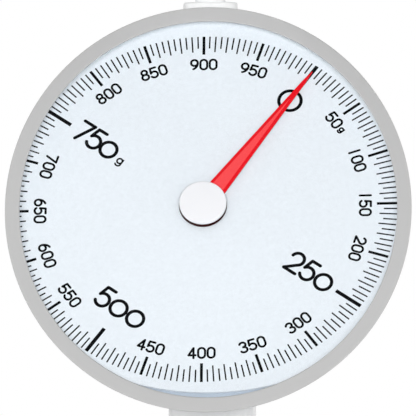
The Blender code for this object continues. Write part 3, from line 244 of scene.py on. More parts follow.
# a mesh becomes a piece that rides on a body, and edges over the sharp angle stay crisp
def addPiece(name, bm, finishNames, body, replaces=(), sharp=32.0):
    bmesh.ops.recalc_face_normals(bm, faces=bm.faces)
    mesh = bpy.data.meshes.new(name)
    bm.to_mesh(mesh)
    bm.free()
    mesh.shade_smooth()
    mesh.set_sharp_from_angle(angle=math.radians(sharp))
    for finishName in finishNames:
        mesh.materials.append(finishes[finishName])
    piece = bpy.data.objects.new(name, mesh)
    scene.collection.objects.link(piece)
    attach(piece, body)
    if replaces:
        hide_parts(*replaces)


# corners of a (radius, place, fillet) profile rounded off
def rounded(points, steps=5):
    out = []
    for i, (x, y, fillet) in enumerate(points):
        here = Vector((x, y))
        if fillet == 0.0:
            out.append(here)
            continue
        before = (Vector(points[i - 1][:2]) - here).normalized()
        after = (Vector(points[(i + 1) % len(points)][:2]) - here).normalized()
        angle = before.angle(after)
        centre = here + (before + after).normalized() * (fillet / math.sin(angle / 2))
        start = here + before * (fillet / math.tan(angle / 2)) - centre
        end = here + after * (fillet / math.tan(angle / 2)) - centre
        for k in range(steps + 1):
            share = k / steps
            out.append(centre + (start * (1 - share) + end * share).normalized() * fillet)
    return out


# a profile of (radius, place) turned about Z or about Y
def lathe(bm, profile, sides, axis="Z", closed=True, place=None):
    place = place or Matrix.Identity(4)
    rings = []
    for radius, along in profile:
        count = 1 if radius < samePoint else sides
        ring = []
        for k in range(count):
            angle = 2 * math.pi * k / sides
            a, b = radius * math.cos(angle), radius * math.sin(angle)
            ring.append(bm.verts.new(place @ Vector((a, b, along) if axis == "Z" else (b, along, a))))
        rings.append(ring)
    pairs = list(zip(rings, rings[1:]))
    if closed:
        pairs.append((rings[-1], rings[0]))
    for first, second in pairs:
        for k in range(sides):
            corners = [first[k % len(first)], first[(k + 1) % len(first)]]
            corners += [second[(k + 1) % len(second)], second[k % len(second)]]
            kept = []
            for vert in corners:
                if vert not in kept:
                    kept.append(vert)
            if len(kept) > 2:
                bm.faces.new(kept)
    return bm


# loops of the same count joined into one skin, with flat ends
def stacked(bm, loops, place=None, capped=True):
    place = place or Matrix.Identity(4)
    rows = [[bm.verts.new(place @ Vector(point)) for point in loop] for loop in loops]
    for first, second in zip(rows, rows[1:]):
        for k in range(len(first)):
            n = (k + 1) % len(first)
            bm.faces.new((first[k], first[n], second[n], second[k]))
    if capped:
        bm.faces.new(list(reversed(rows[0])))
        bm.faces.new(rows[-1])
    return rows


# one mesh cut out of another
def drilled(bm, tool):
    work = []
    for part in (bm, tool):
        bmesh.ops.recalc_face_normals(part, faces=part.faces)
        mesh = bpy.data.meshes.new("work")
        part.to_mesh(mesh)
        part.free()
        work.append(bpy.data.objects.new("work", mesh))
        scene.collection.objects.link(work[-1])
    change = work[0].modifiers.new("drill", "BOOLEAN")
    change.operation = "DIFFERENCE"
    change.solver = "EXACT"
    change.object = work[1]
    bpy.context.view_layer.update()
    result = bmesh.new()
    result.from_object(work[0], bpy.context.evaluated_depsgraph_get())
    bmesh.ops.dissolve_degenerate(result, dist=sliver, edges=result.edges)
    for part in work:
        bpy.data.objects.remove(part, do_unlink=True)
    return result


# a plain round tool to drill with
def bar(bm, radius, start, end, axis="Z", place=None, sides=48):
    return lathe(bm, [(0.0, start), (radius, start), (radius, end), (0.0, end)], sides, axis, False, place)


# a rectangle with round corners, drawn in by the inset
def roundedOutline(block, inset, count=12):
    (lowX, lowY), (highX, highY), radius = block["low"], block["high"], block["corner"]
    reach = radius - inset
    points = []
    for x, y, start in ((highX, highY, 0), (lowX, highY, 90), (lowX, lowY, 180), (highX, lowY, 270)):
        cx = x - math.copysign(radius, x - (lowX + highX) / 2)
        cy = y - math.copysign(radius, y - (lowY + highY) / 2)
        for k in range(count + 1):
            angle = math.radians(start + 90.0 * k / count)
            points.append((cx + reach * math.cos(angle), cy + reach * math.sin(angle)))
    return points


# that outline carried through levels of (inset, height)
def slab(block, levels):
    bm = bmesh.new()
    stacked(bm, [[(x, y, height) for x, y in roundedOutline(block, inset)] for inset, height in levels])
    return bm


# points in front of this depth slide along Y with their height, as the drum's front leans
def lean(bm, depth=math.inf):
    for vert in bm.verts:
        if vert.co.y < depth:
            vert.co.y += vert.co.z * tanSlant


# the grey ring round the dial
ring = {"inner": 0.0613, "outer": 0.066, "skirtInner": 0.0653, "lip": 0.003, "depth": 0.009,
        "edge": 0.0004, "skirtEdge": 0.0002, "lipEdge": 0.0003,
        "screws": 3, "screwHole": 0.0015, "holeRadius": 0.0657, "holeSides": 24, "overrun": 0.001}
profile = rounded([
    (ring["inner"], 0.0, ring["edge"]),
    (ring["outer"], 0.0, ring["edge"]),
    (ring["outer"], ring["depth"], ring["skirtEdge"]),
    (ring["skirtInner"], ring["depth"], 0.0),
    (ring["skirtInner"], ring["lip"], 0.0),
    (ring["inner"], ring["lip"], ring["lipEdge"]),
])
bm = lathe(bmesh.new(), profile, drum["sides"], "Y")
lean(bm)
tool = bmesh.new()
for k in range(ring["screws"]):
    angle = 2 * math.pi * k / ring["screws"]
    depth = (ring["lip"] + gap + ring["depth"]) / 2 + ring["holeRadius"] * math.cos(angle) * tanSlant
    turn = Matrix.Translation((0.0, depth, 0.0)) @ Matrix.Rotation(angle, 4, "Y")
    bar(tool, ring["screwHole"], drum["radius"], ring["outer"] + ring["overrun"], "Z", turn,
        ring["holeSides"])
bm = drilled(bm, tool)
bm.transform(drumPlace)
addPiece("dial_ring", bm, ["greyPlastic"], "housing", ["bezel_ring"])

# the white drum behind it
shell = {"front": ring["lip"] + gap, "back": drum["back"] - rimY, "edge": 0.0003,
         "ledgeFront": 0.01574, "ledgeBack": 0.01874, "ledgeBore": 0.0603,
         "stemHole": 0.0068, "holeFrom": 0.0578, "holeTo": 0.069}
profile = rounded([
    (drum["radius"], shell["front"], shell["edge"]),
    (drum["radius"], shell["back"], shell["edge"]),
    (drum["bore"], shell["back"], 0.0),
    (drum["bore"], shell["ledgeBack"], 0.0),
    (shell["ledgeBore"], shell["ledgeBack"], 0.0),
    (shell["ledgeBore"], shell["ledgeFront"], 0.0),
    (drum["bore"], shell["ledgeFront"], 0.0),
    (drum["bore"], shell["front"], 0.0),
])
bm = lathe(bmesh.new(), profile, drum["sides"], "Y")
lean(bm, shell["back"] / 2)  # the back end stays square
tool = bar(bmesh.new(), shell["stemHole"], shell["holeFrom"], shell["holeTo"], "Z",
           Matrix.Translation((0.0, -rimY, 0.0)))
bm = drilled(bm, tool)
bm.transform(drumPlace)
addPiece("drum_wall", bm, ["whiteEnamel"], "housing", ["drum_shell"])
print("ring and drum made")

# the dial plate: an oval that fills the drum, trimmed below to a flatter arc
dial = {"radius": 0.0633, "trimReach": 0.0671, "trimRadius": 0.085, "thick": 0.001, "hole": 0.002,
        "edge": 0.00015, "count": 288}


def dialEdge(inset):
    points = []
    for k in range(dial["count"]):
        angle = 2 * math.pi * k / dial["count"]
        here = Vector((dial["radius"] * math.cos(angle), dial["radius"] / cosSlant * math.sin(angle)))
        middle = Vector((0.0, dial["trimRadius"] - dial["trimReach"]))
        reach = (here - middle).length
        if reach > dial["trimRadius"]:
            here = middle + (here - middle) * (dial["trimRadius"] / reach)
        here *= 1.0 - inset / here.length
        points.append((here.x - dialPlace.x, here.y))
    return points


edge = dialEdge(0.0)
holeRim = [(dial["hole"] * x / math.hypot(x, y), dial["hole"] * y / math.hypot(x, y)) for x, y in edge]
bm = bmesh.new()
stacked(bm, [
    [(x, y, 0.0) for x, y in holeRim],
    [(x, y, 0.0) for x, y in dialEdge(dial["edge"])],
    [(x, y, -dial["edge"]) for x, y in edge],
    [(x, y, -dial["thick"]) for x, y in edge],
    [(x, y, -dial["thick"]) for x, y in holeRim],
    [(x, y, 0.0) for x, y in holeRim],
], dialFrame, False)
bmesh.ops.remove_doubles(bm, verts=bm.verts, dist=samePoint)
addPiece("dial_face", bm, ["dialPaint"], "housing", ["dial_plate"])

# the printed scale, as thin layers of ink on the plate
scalePrint = {
    "radius": 0.06346,
    "divisions": 200,
    "ink": 0.00003,
    "sunk": 0.00002,
    "margin": 0.0003,  # bare plate left at its edge
    "trimStep": 0.0001,
    "sharp": 20.0,
    "marks": (  # the first that fits, in shares of the radius
        {"every": 50, "inner": 0.845, "width": 0.0195, "bold": True},
        {"every": 10, "inner": 0.894, "width": 0.0145, "bold": True},
        {"every": 2, "inner": 0.909, "width": 0.0075, "bold": False},
        {"every": 1, "inner": 0.930, "width": 0.0075, "bold": False},
    ),
    "fullLoad": 1000,  # grams for a full turn
    "numbered": 50,
    "numberedLarge": 250,
}
unit = scalePrint["radius"]


def onPlate(x, y):
    turned = pull @ printTurn @ Vector((x, y, 0.0))
    return math.hypot(turned.x + dialPlace.x, turned.y * cosSlant) < dial["radius"] - scalePrint["margin"]


def inkSlab(bm, points):
    low = [(x, y, -scalePrint["sunk"]) for x, y in points]
    high = [(x, y, scalePrint["ink"]) for x, y in points]
    stacked(bm, [low, high], scaleFrame)


def addInk(name, bm):
    addPiece(name, bm, ["blackInk"], "housing", sharp=scalePrint["sharp"])


fine = bmesh.new()
bold = bmesh.new()
for i in range(scalePrint["divisions"]):
    mark = next(kind for kind in scalePrint["marks"] if i % kind["every"] == 0)
    angle = 2 * math.pi * i / scalePrint["divisions"]
    out = Vector((math.sin(angle), math.cos(angle)))
    side = Vector((out.y, -out.x)) * (mark["width"] * unit / 2)
    inner = mark["inner"] * unit
    outer = unit
    while outer > inner and not onPlate(*(out * outer)):  # the plate ends under the ring at the left
        outer -= scalePrint["trimStep"]
    corners = [out * inner - side, out * inner + side, out * outer + side, out * outer - side]
    inkSlab(bold if mark["bold"] else fine, corners)
addInk("scale_marks_fine", fine)
addInk("scale_marks_bold", bold)

pen = {"mitre": 1.8, "tightest": 0.3, "endSteps": 8}


def arcPath(cx, cy, rx, ry, start, end, steps=14):
    turns = [math.radians(start + (end - start) * k / steps) for k in range(steps + 1)]
    return [Vector((cx + rx * math.cos(a), cy + ry * math.sin(a))) for a in turns]


def linePath(*points):
    return [Vector(point) for point in points]


# a stroke of even width with round ends, or a closed loop of it
def inkStroke(bm, path, half, closed=False):
    path = [p for i, p in enumerate(path) if i == 0 or (p - path[i - 1]).length > sliver]
    count = len(path)
    left, right = [], []
    for i, here in enumerate(path):
        before = here - path[i - 1] if closed or i > 0 else path[1] - here
        after = path[(i + 1) % count] - here if closed or i < count - 1 else here - path[-2]
        before, after = before.normalized(), after.normalized()
        along = (before + after).normalized()
        grow = min(pen["mitre"], 1.0 / max(pen["tightest"], along.dot(after)))
        across = Vector((-along.y, along.x)) * half * grow
        left.append(here + across)
        right.append(here - across)
    if closed:
        low, high = -scalePrint["sunk"], scalePrint["ink"]
        loops = [[(p.x, p.y, high) for p in left], [(p.x, p.y, high) for p in right]]
        loops += [[(p.x, p.y, low) for p in right], [(p.x, p.y, low) for p in left], loops[0]]
        rows = stacked(bm, loops, scaleFrame, False)
        bmesh.ops.remove_doubles(bm, verts=rows[0] + rows[-1], dist=samePoint)
        return
    ends = []
    for tip, ahead in ((path[-1], path[-1] - path[-2]), (path[0], path[0] - path[1])):
        lead = math.atan2(ahead.y, ahead.x)
        turns = [lead + math.radians(90 - 180 * k / pen["endSteps"]) for k in range(1, pen["endSteps"])]
        ends.append([tip + Vector((math.cos(a), math.sin(a))) * half for a in turns])
    inkSlab(bm, left + ends[0] + list(reversed(right)) + ends[1])


# digits as pen strokes, one unit high, from the left edge of their own box
def slimDigits(w):
    c = w / 2
    return {
        "0": [(arcPath(c, 1.0 - c, c, c, 0, 180) + arcPath(c, c, c, c, 180, 360), True)],
        "1": [(linePath((c, 0.0), (c, 1.0)), False)],
        "2": [(arcPath(c, 1.0 - c, c, c, 165, -38) + linePath((0.0, 0.0)), False),
              (linePath((0.0, 0.0), (w, 0.0)), False)],
        "3": [(arcPath(c, 0.76, c * 0.9, 0.24, 155, -90), False),
              (arcPath(c, 0.26, c, 0.26, 90, -155), False)],
        "4": [(linePath((0.44, 0.0), (0.44, 1.0)), False),
              (linePath((0.44, 1.0), (0.0, 0.28)), False),
              (linePath((0.0, 0.28), (w, 0.28)), False)],
        "5": [(linePath((w * 0.92, 1.0), (0.07, 1.0)), False),
              (linePath((0.07, 1.0), (0.02, 0.49)), False),
              (arcPath(c - 0.02, 0.31, c + 0.02, 0.31, 145, -150), False)],
        "6": [(arcPath(c, c, c, c, 0, 360)[:-1], True),
              (arcPath(w * 0.98, c, w * 0.98, 1.0 - c, 180, 110), False)],
        "7": [(linePath((0.0, 1.0), (w, 1.0)), False),
              (linePath((w, 1.0), (0.2, 0.0)), False)],
        "8": [(arcPath(c, 0.76, c * 0.84, 0.24, 0, 360)[:-1], True),
              (arcPath(c, 0.27, c, 0.27, 0, 360, 20)[:-1], True)],
        "9": [(arcPath(c, 1.0 - c, c, c, 0, 360)[:-1], True),
              (arcPath(0.02 * w, 1.0 - c, w * 0.98, 1.0 - c, 0, -70), False)],
        "g": [(arcPath(0.26, 0.26, 0.26, 0.26, 0, 360)[:-1], True),
              (linePath((0.52, 0.52), (0.52, -0.06)) + arcPath(0.26, -0.06, 0.26, 0.22, 0, -150), False)],
    }


# rounder digits, each with its width
def roundDigits(zero):
    c = zero / 2
    return {
        "0": (zero, [(arcPath(c, c, c, c, 0, 360, 40)[:-1], True)]),
        "2": (0.64, [(arcPath(0.31, 0.69, 0.31, 0.31, 170, -36, 18) + linePath((0.0, 0.0)), False),
                     (linePath((0.0, 0.0), (0.64, 0.0)), False)]),
        "5": (0.62, [(linePath((0.58, 1.0), (0.14, 1.0)), False),
                     (linePath((0.14, 1.0), (0.03, 0.53)), False),
                     (arcPath(0.29, 0.33, 0.33, 0.33, 142, -150, 18), False)]),
        "7": (0.60, [(linePath((0.0, 1.0), (0.60, 1.0)), False),
                     (linePath((0.60, 1.0), (0.13, 0.0)), False)]),
    }


# text on its own baseline: turn is clockwise, and the text's middle stands at the given place
smallText = {"radius": 0.835, "height": 0.0565, "width": 0.62, "step": 0.86, "stroke": 0.0115,
             "drop": -0.5}
slim = slimDigits(smallText["width"])


def writeSlim(bm, text, middle, turn, size, half):
    width = smallText["step"] * (len(text) - 1) + smallText["width"]
    rotate = Matrix.Rotation(-turn, 2)
    for i, letter in enumerate(text):
        corner = Vector((i * smallText["step"] - width / 2, smallText["drop"]))
        for path, closed in slim[letter]:
            inkStroke(bm, [middle + rotate @ ((p + corner) * size) for p in path], half, closed)


bm = bmesh.new()
for grams in range(scalePrint["numbered"], scalePrint["fullLoad"], scalePrint["numbered"]):
    if grams % scalePrint["numberedLarge"] == 0:
        continue
    angle = 2 * math.pi * grams / scalePrint["fullLoad"]
    middle = Vector((math.sin(angle), math.cos(angle))) * smallText["radius"] * unit
    upright = angle if math.cos(angle) > 0 else angle + math.pi
    writeSlim(bm, str(grams), middle, upright, smallText["height"] * unit, smallText["stroke"] * unit / 2)
addInk("scale_numbers_small", bm)

bigText = {
    "height": 0.111,
    "stroke": 0.0172,
    "zeroWidth": 0.79,
    "numbers": {
        "0": {"place": (0.0025, 0.761), "gap": 0.0, "size": 1.32, "drop": -0.42},
        "250": {"place": (0.675, 0.014), "gap": 0.155, "size": 1.0, "drop": -0.5},
        "500": {"place": (0.001, -0.700), "gap": 0.155, "size": 1.0, "drop": -0.5},
        "750": {"place": (-0.677, 0.006), "gap": 0.09, "size": 1.0, "drop": -0.5},
    },
}
big = roundDigits(bigText["zeroWidth"])
bm = bmesh.new()
for text, row in bigText["numbers"].items():
    size = bigText["height"] * unit * row["size"]
    width = sum(big[digit][0] for digit in text) + row["gap"] * (len(text) - 1)
    start = -width / 2
    for digit in text:
        corner = Vector((start, row["drop"]))
        for path, closed in big[digit][1]:
            points = [Vector(row["place"]) * unit + (p + corner) * size for p in path]
            inkStroke(bm, points, bigText["stroke"] * unit / 2, closed)
        start += big[digit][0] + row["gap"]
addInk("scale_numbers_large", bm)

unitMarks = {"stroke": 0.009, "places": ((0.3265, 0.7785, 18.0, 0.040), (-0.509, -0.013, 0.0, 0.055))}
bm = bmesh.new()
for x, y, turn, height in unitMarks["places"]:
    middle = Vector((x, y)) * unit
    writeSlim(bm, "g", middle, math.radians(turn), height * unit, unitMarks["stroke"] * unit / 2)
addInk("scale_unit_marks", bm)
print("dial printed")

# the red pointer: a bright face that runs out before the tip, and a sloping edge round it painted a darker
# red as painted shade
needle = {
    "bottom": 0.0012,
    "top": 0.0018,
    "rim": 0.0001,
    "count": 60,
    "edge": {"hub": 0.0078, "base": 0.0063, "shoulder": (0.0012, 0.0560), "tip": (0.0002, 0.0608)},
    "face": {"hub": 0.0070, "base": 0.0044, "shoulder": (0.0015, 0.0340), "tip": (0.0001, 0.0480)},
    "paintedShadowReach": 0.0083,  # the edge is painted near-black as painted shadow as far as this from the hub's middle
    "sharp": 20.0,
}


def needleOutline(part):
    tip, reach = part["tip"]
    shoulder, height = part["shoulder"]
    half = math.asin(part["base"] / 2 / part["hub"])
    points = [(tip / 2, reach), (-tip / 2, reach), (-shoulder / 2, height)]
    for k in range(needle["count"] + 1):
        angle = math.pi / 2 + half + (2 * math.pi - 2 * half) * k / needle["count"]
        points.append((part["hub"] * math.cos(angle), part["hub"] * math.sin(angle)))
    points.append((shoulder / 2, height))
    return points


bm = bmesh.new()
outer = needleOutline(needle["edge"])
inner = needleOutline(needle["face"])
stacked(bm, [
    [(x, y, needle["bottom"]) for x, y in outer],
    [(x, y, needle["top"] - needle["rim"]) for x, y in outer],
    [(x, y, needle["top"]) for x, y in inner],
], pointerFrame)
bm.faces.ensure_lookup_table()
outward = dialFrame.col[2].to_3d()
face = max(bm.faces, key=lambda f: f.calc_center_median().dot(outward))
# the top face is bright red, the sloping edge takes the darker red painted shade, and faces under the cap
# take the near-black painted shadow
for f in bm.faces:
    underCap = (f.calc_center_median() - dialPlace).length < needle["paintedShadowReach"]
    f.material_index = 0 if f == face else 2 if underCap else 1
addPiece("red_needle", bm, ["redPaint", "redEdgePaintedShade", "hubPaintedShadow"], "pointer_shaft",
         ["pointer"], needle["sharp"])

# its cap: a white disc on a red hub whose side below the disc is painted near-black as painted shadow
cap = {"radius": 0.0077, "bottom": 0.0021, "disc": 0.0028, "top": 0.0040, "edge": 0.0005,
       "bottomEdge": 0.0002, "edgeSteps": 6, "sides": 96}
profile = rounded([
    (0.0, cap["bottom"], 0.0),
    (cap["radius"], cap["bottom"], cap["bottomEdge"]),
    (cap["radius"], cap["disc"], 0.0),
    (cap["radius"], cap["top"], cap["edge"]),
    (0.0, cap["top"], 0.0),
], cap["edgeSteps"])
bm = lathe(bmesh.new(), profile, cap["sides"], "Z", False)
# faces below the disc take the near-black painted shadow
for f in bm.faces:
    f.material_index = 0 if f.calc_center_median().z > cap["disc"] else 1
bm.transform(dialFrame)
addPiece("white_cap", bm, ["capPlastic", "hubPaintedShadow"], "pointer_shaft", ["pointer_cap"])
print("pointer made")

# rear cover
cover = {"front": drum["back"] + gap, "back": 0.048, "edge": 0.0008, "frontEdge": 0.0003}
profile = rounded([
    (0.0, cover["front"], 0.0),
    (drum["radius"], cover["front"], cover["frontEdge"]),
    (drum["radius"], cover["back"], cover["edge"]),
    (0.0, cover["back"], 0.0),
])
bm = lathe(bmesh.new(), profile, drum["sides"], "Y", False)
bm.transform(Matrix.Translation((0.0, 0.0, axisHeight)))
addPiece("back_cover", bm, ["whiteEnamel"], "housing", ["rear_cover"])

# its slotted screws: three round the edge, and two into the chassis
screws = {"head": 0.003, "seat": cover["back"] + gap, "rise": 0.0018, "crown": 0.0008, "headEdge": 0.0002,
          "shank": 0.0015, "tipEdge": 0.0003, "sides": 40, "slot": 0.0007, "slotDepth": 0.0009,
          "slotLength": 0.02, "count": 3, "circle": 0.0603, "reach": 0.008,
          "chassisHeight": 0.022, "chassisReach": 0.0023,
          "turns": (0.5, 1.6, 2.7, 1.2, 0.2)}  # how each slot was left standing
screwPlaces = []
for k in range(screws["count"]):
    angle = 2 * math.pi * k / screws["count"]
    x, z = screws["circle"] * math.sin(angle), screws["circle"] * math.cos(angle)
    screwPlaces.append((x, z, screws["reach"], f"cover_screw_{k + 1}"))
screwPlaces.append((0.0, screws["chassisHeight"], screws["chassisReach"], "chassis_screw_upper"))
screwPlaces.append((0.0, -screws["chassisHeight"], screws["chassisReach"], "chassis_screw_lower"))
for i, (x, z, reach, node) in enumerate(screwPlaces):
    top = screws["seat"] + screws["rise"]
    profile = rounded([
        (0.0, cover["front"] - reach, 0.0),
        (screws["shank"], cover["front"] - reach, screws["tipEdge"]),
        (screws["shank"], screws["seat"], 0.0),
        (screws["head"], screws["seat"], screws["headEdge"]),
        (screws["head"], top, screws["crown"]),
        (0.0, top, 0.0),
    ])
    bm = lathe(bmesh.new(), profile, screws["sides"], "Y", False)
    place = Matrix.Translation((0.0, top, 0.0)) @ Matrix.Rotation(screws["turns"][i], 4, "Y")
    size = Matrix.Diagonal((screws["slotLength"], 2 * screws["slotDepth"], screws["slot"], 1.0))
    tool = bmesh.new()
    bmesh.ops.create_cube(tool, size=1.0, matrix=place @ size)
    bm = drilled(bm, tool)
    bm.transform(Matrix.Translation((x, 0.0, axisHeight + z)))
    addPiece(f"slotted_screw_{i + 1}", bm, ["platedSteel"], "housing", [node])

# the zero knob, gripped all round
knob = {"height": 0.126, "front": cover["back"] + gap, "radius": 0.010, "grips": 12, "gripDepth": 0.0008,
        "bore": 0.0023, "boreEnd": 0.0563, "overrun": 0.002, "count": 144, "sharp": 40.0,
        "levels": ((0.0, 0.965), (0.0004, 1.0), (0.0096, 1.0), (0.0104, 0.975), (0.0108, 0.94),
                   (0.011, 0.89))}  # (rise, share of the radius)


def gripLoop(y, share):
    points = []
    for k in range(knob["count"]):
        angle = 2 * math.pi * k / knob["count"]
        radius = knob["radius"] - knob["gripDepth"] * (0.5 - 0.5 * math.cos(knob["grips"] * angle))
        radius *= share
        points.append((radius * math.cos(angle), y, knob["height"] + radius * math.sin(angle)))
    return points


bm = bmesh.new()
stacked(bm, [gripLoop(knob["front"] + rise, share) for rise, share in knob["levels"]])
tool = bar(bmesh.new(), knob["bore"], knob["front"] - knob["overrun"], knob["boreEnd"], "Y",
           Matrix.Translation((0.0, 0.0, knob["height"])))
bm = drilled(bm, tool)
addPiece("zero_knob_grip", bm, ["greyPlastic"], "zero_adjuster", ["zero_knob"],
         knob["sharp"])
print("back made")

# the stem under the pan's seat
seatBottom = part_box("pan_seat")[0][2]
stem = {"radius": 0.005, "bottom": 0.1323, "top": seatBottom - gap, "spigot": 0.0025, "spigotEnd": 0.123,
        "edge": 0.0003, "shoulderEdge": 0.0004, "sides": 64}
profile = rounded([
    (0.0, stem["spigotEnd"], 0.0),
    (stem["spigot"], stem["spigotEnd"], stem["edge"]),
    (stem["spigot"], stem["bottom"], 0.0),
    (stem["radius"], stem["bottom"], stem["shoulderEdge"]),
    (stem["radius"], stem["top"], stem["edge"]),
    (0.0, stem["top"], 0.0),
])
bm = lathe(bmesh.new(), profile, stem["sides"], "Z", False)
addPiece("stem_rod", bm, ["whiteEnamel"], "load_frame", ["pan_stem"])

# the collar it slides through
collar = {"inner": 0.0053, "barrel": 0.0065, "flange": 0.009, "top": 0.1563, "bottom": 0.147, "rim": 0.002,
          "edge": 0.0008, "boreEdge": 0.0003, "sides": 72}
profile = [(collar["inner"], collar["bottom"]), (collar["barrel"], collar["bottom"])]
profile += [(collar["barrel"], None), (collar["flange"], None)]
profile += [tuple(p) for p in rounded([
    (collar["flange"], collar["top"] - collar["rim"], 0.0),
    (collar["flange"], collar["top"], collar["edge"]),
    (collar["inner"], collar["top"], collar["boreEdge"]),
    (collar["inner"], collar["top"] - collar["rim"], 0.0),
])]
loops = []
for radius, height in profile:
    loop = []
    for k in range(collar["sides"]):
        angle = 2 * math.pi * k / collar["sides"]
        x, y = radius * math.cos(angle), radius * math.sin(angle)
        z = height
        if z is None:  # the flange's underside follows the drum
            z = axisHeight + math.sqrt((drum["radius"] + gap) ** 2 - x * x)
        loop.append((x, y, z))
    loops.append(loop)
bm = bmesh.new()
stacked(bm, loops + [loops[0]], None, False)
bmesh.ops.remove_doubles(bm, verts=bm.verts, dist=samePoint)
addPiece("collar_ring", bm, ["whitePlastic"], "housing", ["stem_collar"])

# the seat that carries the pan
seat = {"bottom": seatBottom, "headSeat": seatBottom + 0.0017, "under": seatBottom + 0.002,
        "top": seatBottom + 0.004, "rimTop": seatBottom + 0.0065, "radius": 0.0515, "rim": 0.050,
        "hub": 0.008, "bore": 0.0021, "recess": 0.0043, "hubEdge": 0.0004, "hubRoot": 0.0008,
        "underEdge": 0.0006, "rimEdge": 0.0004, "rimRoot": 0.0002, "sides": 144}
profile = rounded([
    (seat["bore"], seat["bottom"], 0.0),
    (seat["hub"], seat["bottom"], seat["hubEdge"]),
    (seat["hub"], seat["under"], seat["hubRoot"]),
    (seat["radius"], seat["under"], seat["underEdge"]),
    (seat["radius"], seat["rimTop"], seat["rimEdge"]),
    (seat["rim"], seat["rimTop"], seat["rimEdge"]),
    (seat["rim"], seat["top"], seat["rimRoot"]),
    (seat["recess"], seat["top"], 0.0),
    (seat["recess"], seat["headSeat"], 0.0),
    (seat["bore"], seat["headSeat"], 0.0),
])
bm = lathe(bmesh.new(), profile, seat["sides"])
addPiece("seat_disc", bm, ["whitePlastic"], "load_frame", ["pan_seat"])

# the pan: its underside drawn first, then the sheet's thickness laid over it
panBottom = seat["top"] + gap
pan = {"bottom": panBottom, "floor": panBottom + 0.0027, "top": panBottom + 0.018, "sheet": 0.001,
       "foot": 0.0497, "footBend": 0.0012, "floorRadius": 0.068, "radius": 0.090, "lip": 0.002, "steps": 28,
       "lipBend": ((0.0, 0.0006), (0.0004, 0.0001)), "lipInset": 0.0002, "lipSteps": 8, "sharp": 40.0}
wallTop = pan["radius"] - pan["lip"]
wall = wallTop - pan["floorRadius"]
lipUnder = pan["top"] - pan["sheet"]
rise = lipUnder - pan["floor"]
under = [(0.0, pan["bottom"])]
under += [tuple(p) for p in rounded([
    (0.0, pan["bottom"], 0.0),
    (pan["foot"] - 2 * pan["sheet"], pan["bottom"], pan["footBend"]),
    (pan["foot"], pan["floor"], pan["footBend"]),
    (pan["floorRadius"], pan["floor"], 0.0),
])[1:-1]]
for k in range(pan["steps"]):
    angle = math.pi / 2 * k / pan["steps"]
    under.append((pan["floorRadius"] + wall * math.sin(angle), pan["floor"] + rise * (1 - math.cos(angle))))
under += [(wallTop + out, lipUnder - drop) for out, drop in pan["lipBend"]]
over = []
for i, (r, z) in enumerate(under):
    before = Vector(under[max(i - 1, 0)])
    after = Vector(under[min(i + 1, len(under) - 1)])
    along = (after - before).normalized()
    shift = Vector((-along.y, along.x)) * pan["sheet"]
    over.append((max(0.0, r + shift.x) if i else 0.0, min(z + shift.y, pan["top"])))
half = pan["sheet"] / 2
lip = []
for k in range(pan["lipSteps"] + 1):
    angle = math.radians(-90 + 180 * k / pan["lipSteps"])
    lip.append((pan["radius"] - half + half * math.cos(angle), pan["top"] - half + half * math.sin(angle)))
lip.append((wallTop - pan["lipInset"], pan["top"]))
profile = under + lip + list(reversed(over))[2:]
bm = lathe(bmesh.new(), profile, drum["sides"], "Z", False)
addPiece("pan_dish", bm, ["spunSteel"], "pan", ["weighing_pan"], pan["sharp"])
print("pan made")

# foot plate, with recesses for the pedestal's bolts
base = {"low": (-0.055, -0.055), "high": (0.055, 0.045), "corner": 0.018, "bottom": 0.004, "top": 0.012,
        "rounding": 0.002, "steps": 6, "bolts": 0.044, "recess": 0.0048, "recessTop": 0.0076,
        "overrun": 0.002}
levels = []
for k in range(base["steps"] + 1):
    angle = math.pi / 2 * k / base["steps"]
    inset = base["rounding"] * (1 - math.sin(angle))
    levels.append((inset, base["bottom"] + base["rounding"] * (1 - math.cos(angle))))
levels += [(inset, base["top"] + base["bottom"] - height) for inset, height in reversed(levels)]
tool = bmesh.new()
for side in (-1, 1):
    bar(tool, base["recess"], base["bottom"] - base["overrun"], base["recessTop"], "Z",
        Matrix.Translation((0.0, side * base["bolts"] / 2, 0.0)))
bm = drilled(slab(base, levels), tool)
addPiece("foot_slab", bm, ["whiteEnamel"], "housing", ["foot_plate"])

# pedestal, hollowed on top to the drum's round
column = {"low": (-0.014, -0.035), "high": (0.014, 0.035), "corner": 0.010, "bottom": base["top"] + gap,
          "top": 0.0255, "edge": 0.0006, "overrun": 0.08}
levels = ((column["edge"], column["bottom"]), (0.0, column["bottom"] + column["edge"]),
          (0.0, column["top"]))
tool = bar(bmesh.new(), drum["radius"] + gap, -column["overrun"], column["overrun"], "Y",
           Matrix.Translation((0.0, 0.0, axisHeight)), drum["sides"])
bm = drilled(slab(column, levels), tool)
addPiece("pedestal_block", bm, ["whiteEnamel"], "housing", ["pedestal"])

# rubber feet
foot = {"radius": 0.007, "height": base["bottom"] - gap, "edge": 0.0009, "topEdge": 0.0004, "sides": 64,
        "ends": {"front": -0.045, "rear": 0.035}, "hands": {"left": -0.045, "right": 0.045}}
profile = rounded([
    (0.0, 0.0, 0.0),
    (foot["radius"], 0.0, foot["edge"]),
    (foot["radius"], foot["height"], foot["topEdge"]),
    (0.0, foot["height"], 0.0),
])
for end, y in foot["ends"].items():
    for hand, x in foot["hands"].items():
        bm = lathe(bmesh.new(), profile, foot["sides"], "Z", False, Matrix.Translation((x, y, 0.0)))
        addPiece(f"foot_pad_{end}_{hand}", bm, ["blackRubber"], "housing",
                 [f"rubber_foot_{end}_{hand}"])
print("pedestal made")

# stage: pale floor that fades to white, soft light, camera level with the dial
stage = {"rings": (0.0, 0.25, 0.6, 3.0), "sides": 96, "level": -0.0002, "near": 0.35, "far": 1.0,
         "floor": (0.88, 0.88, 0.88), "floorRough": 0.9, "ambient": 0.22}


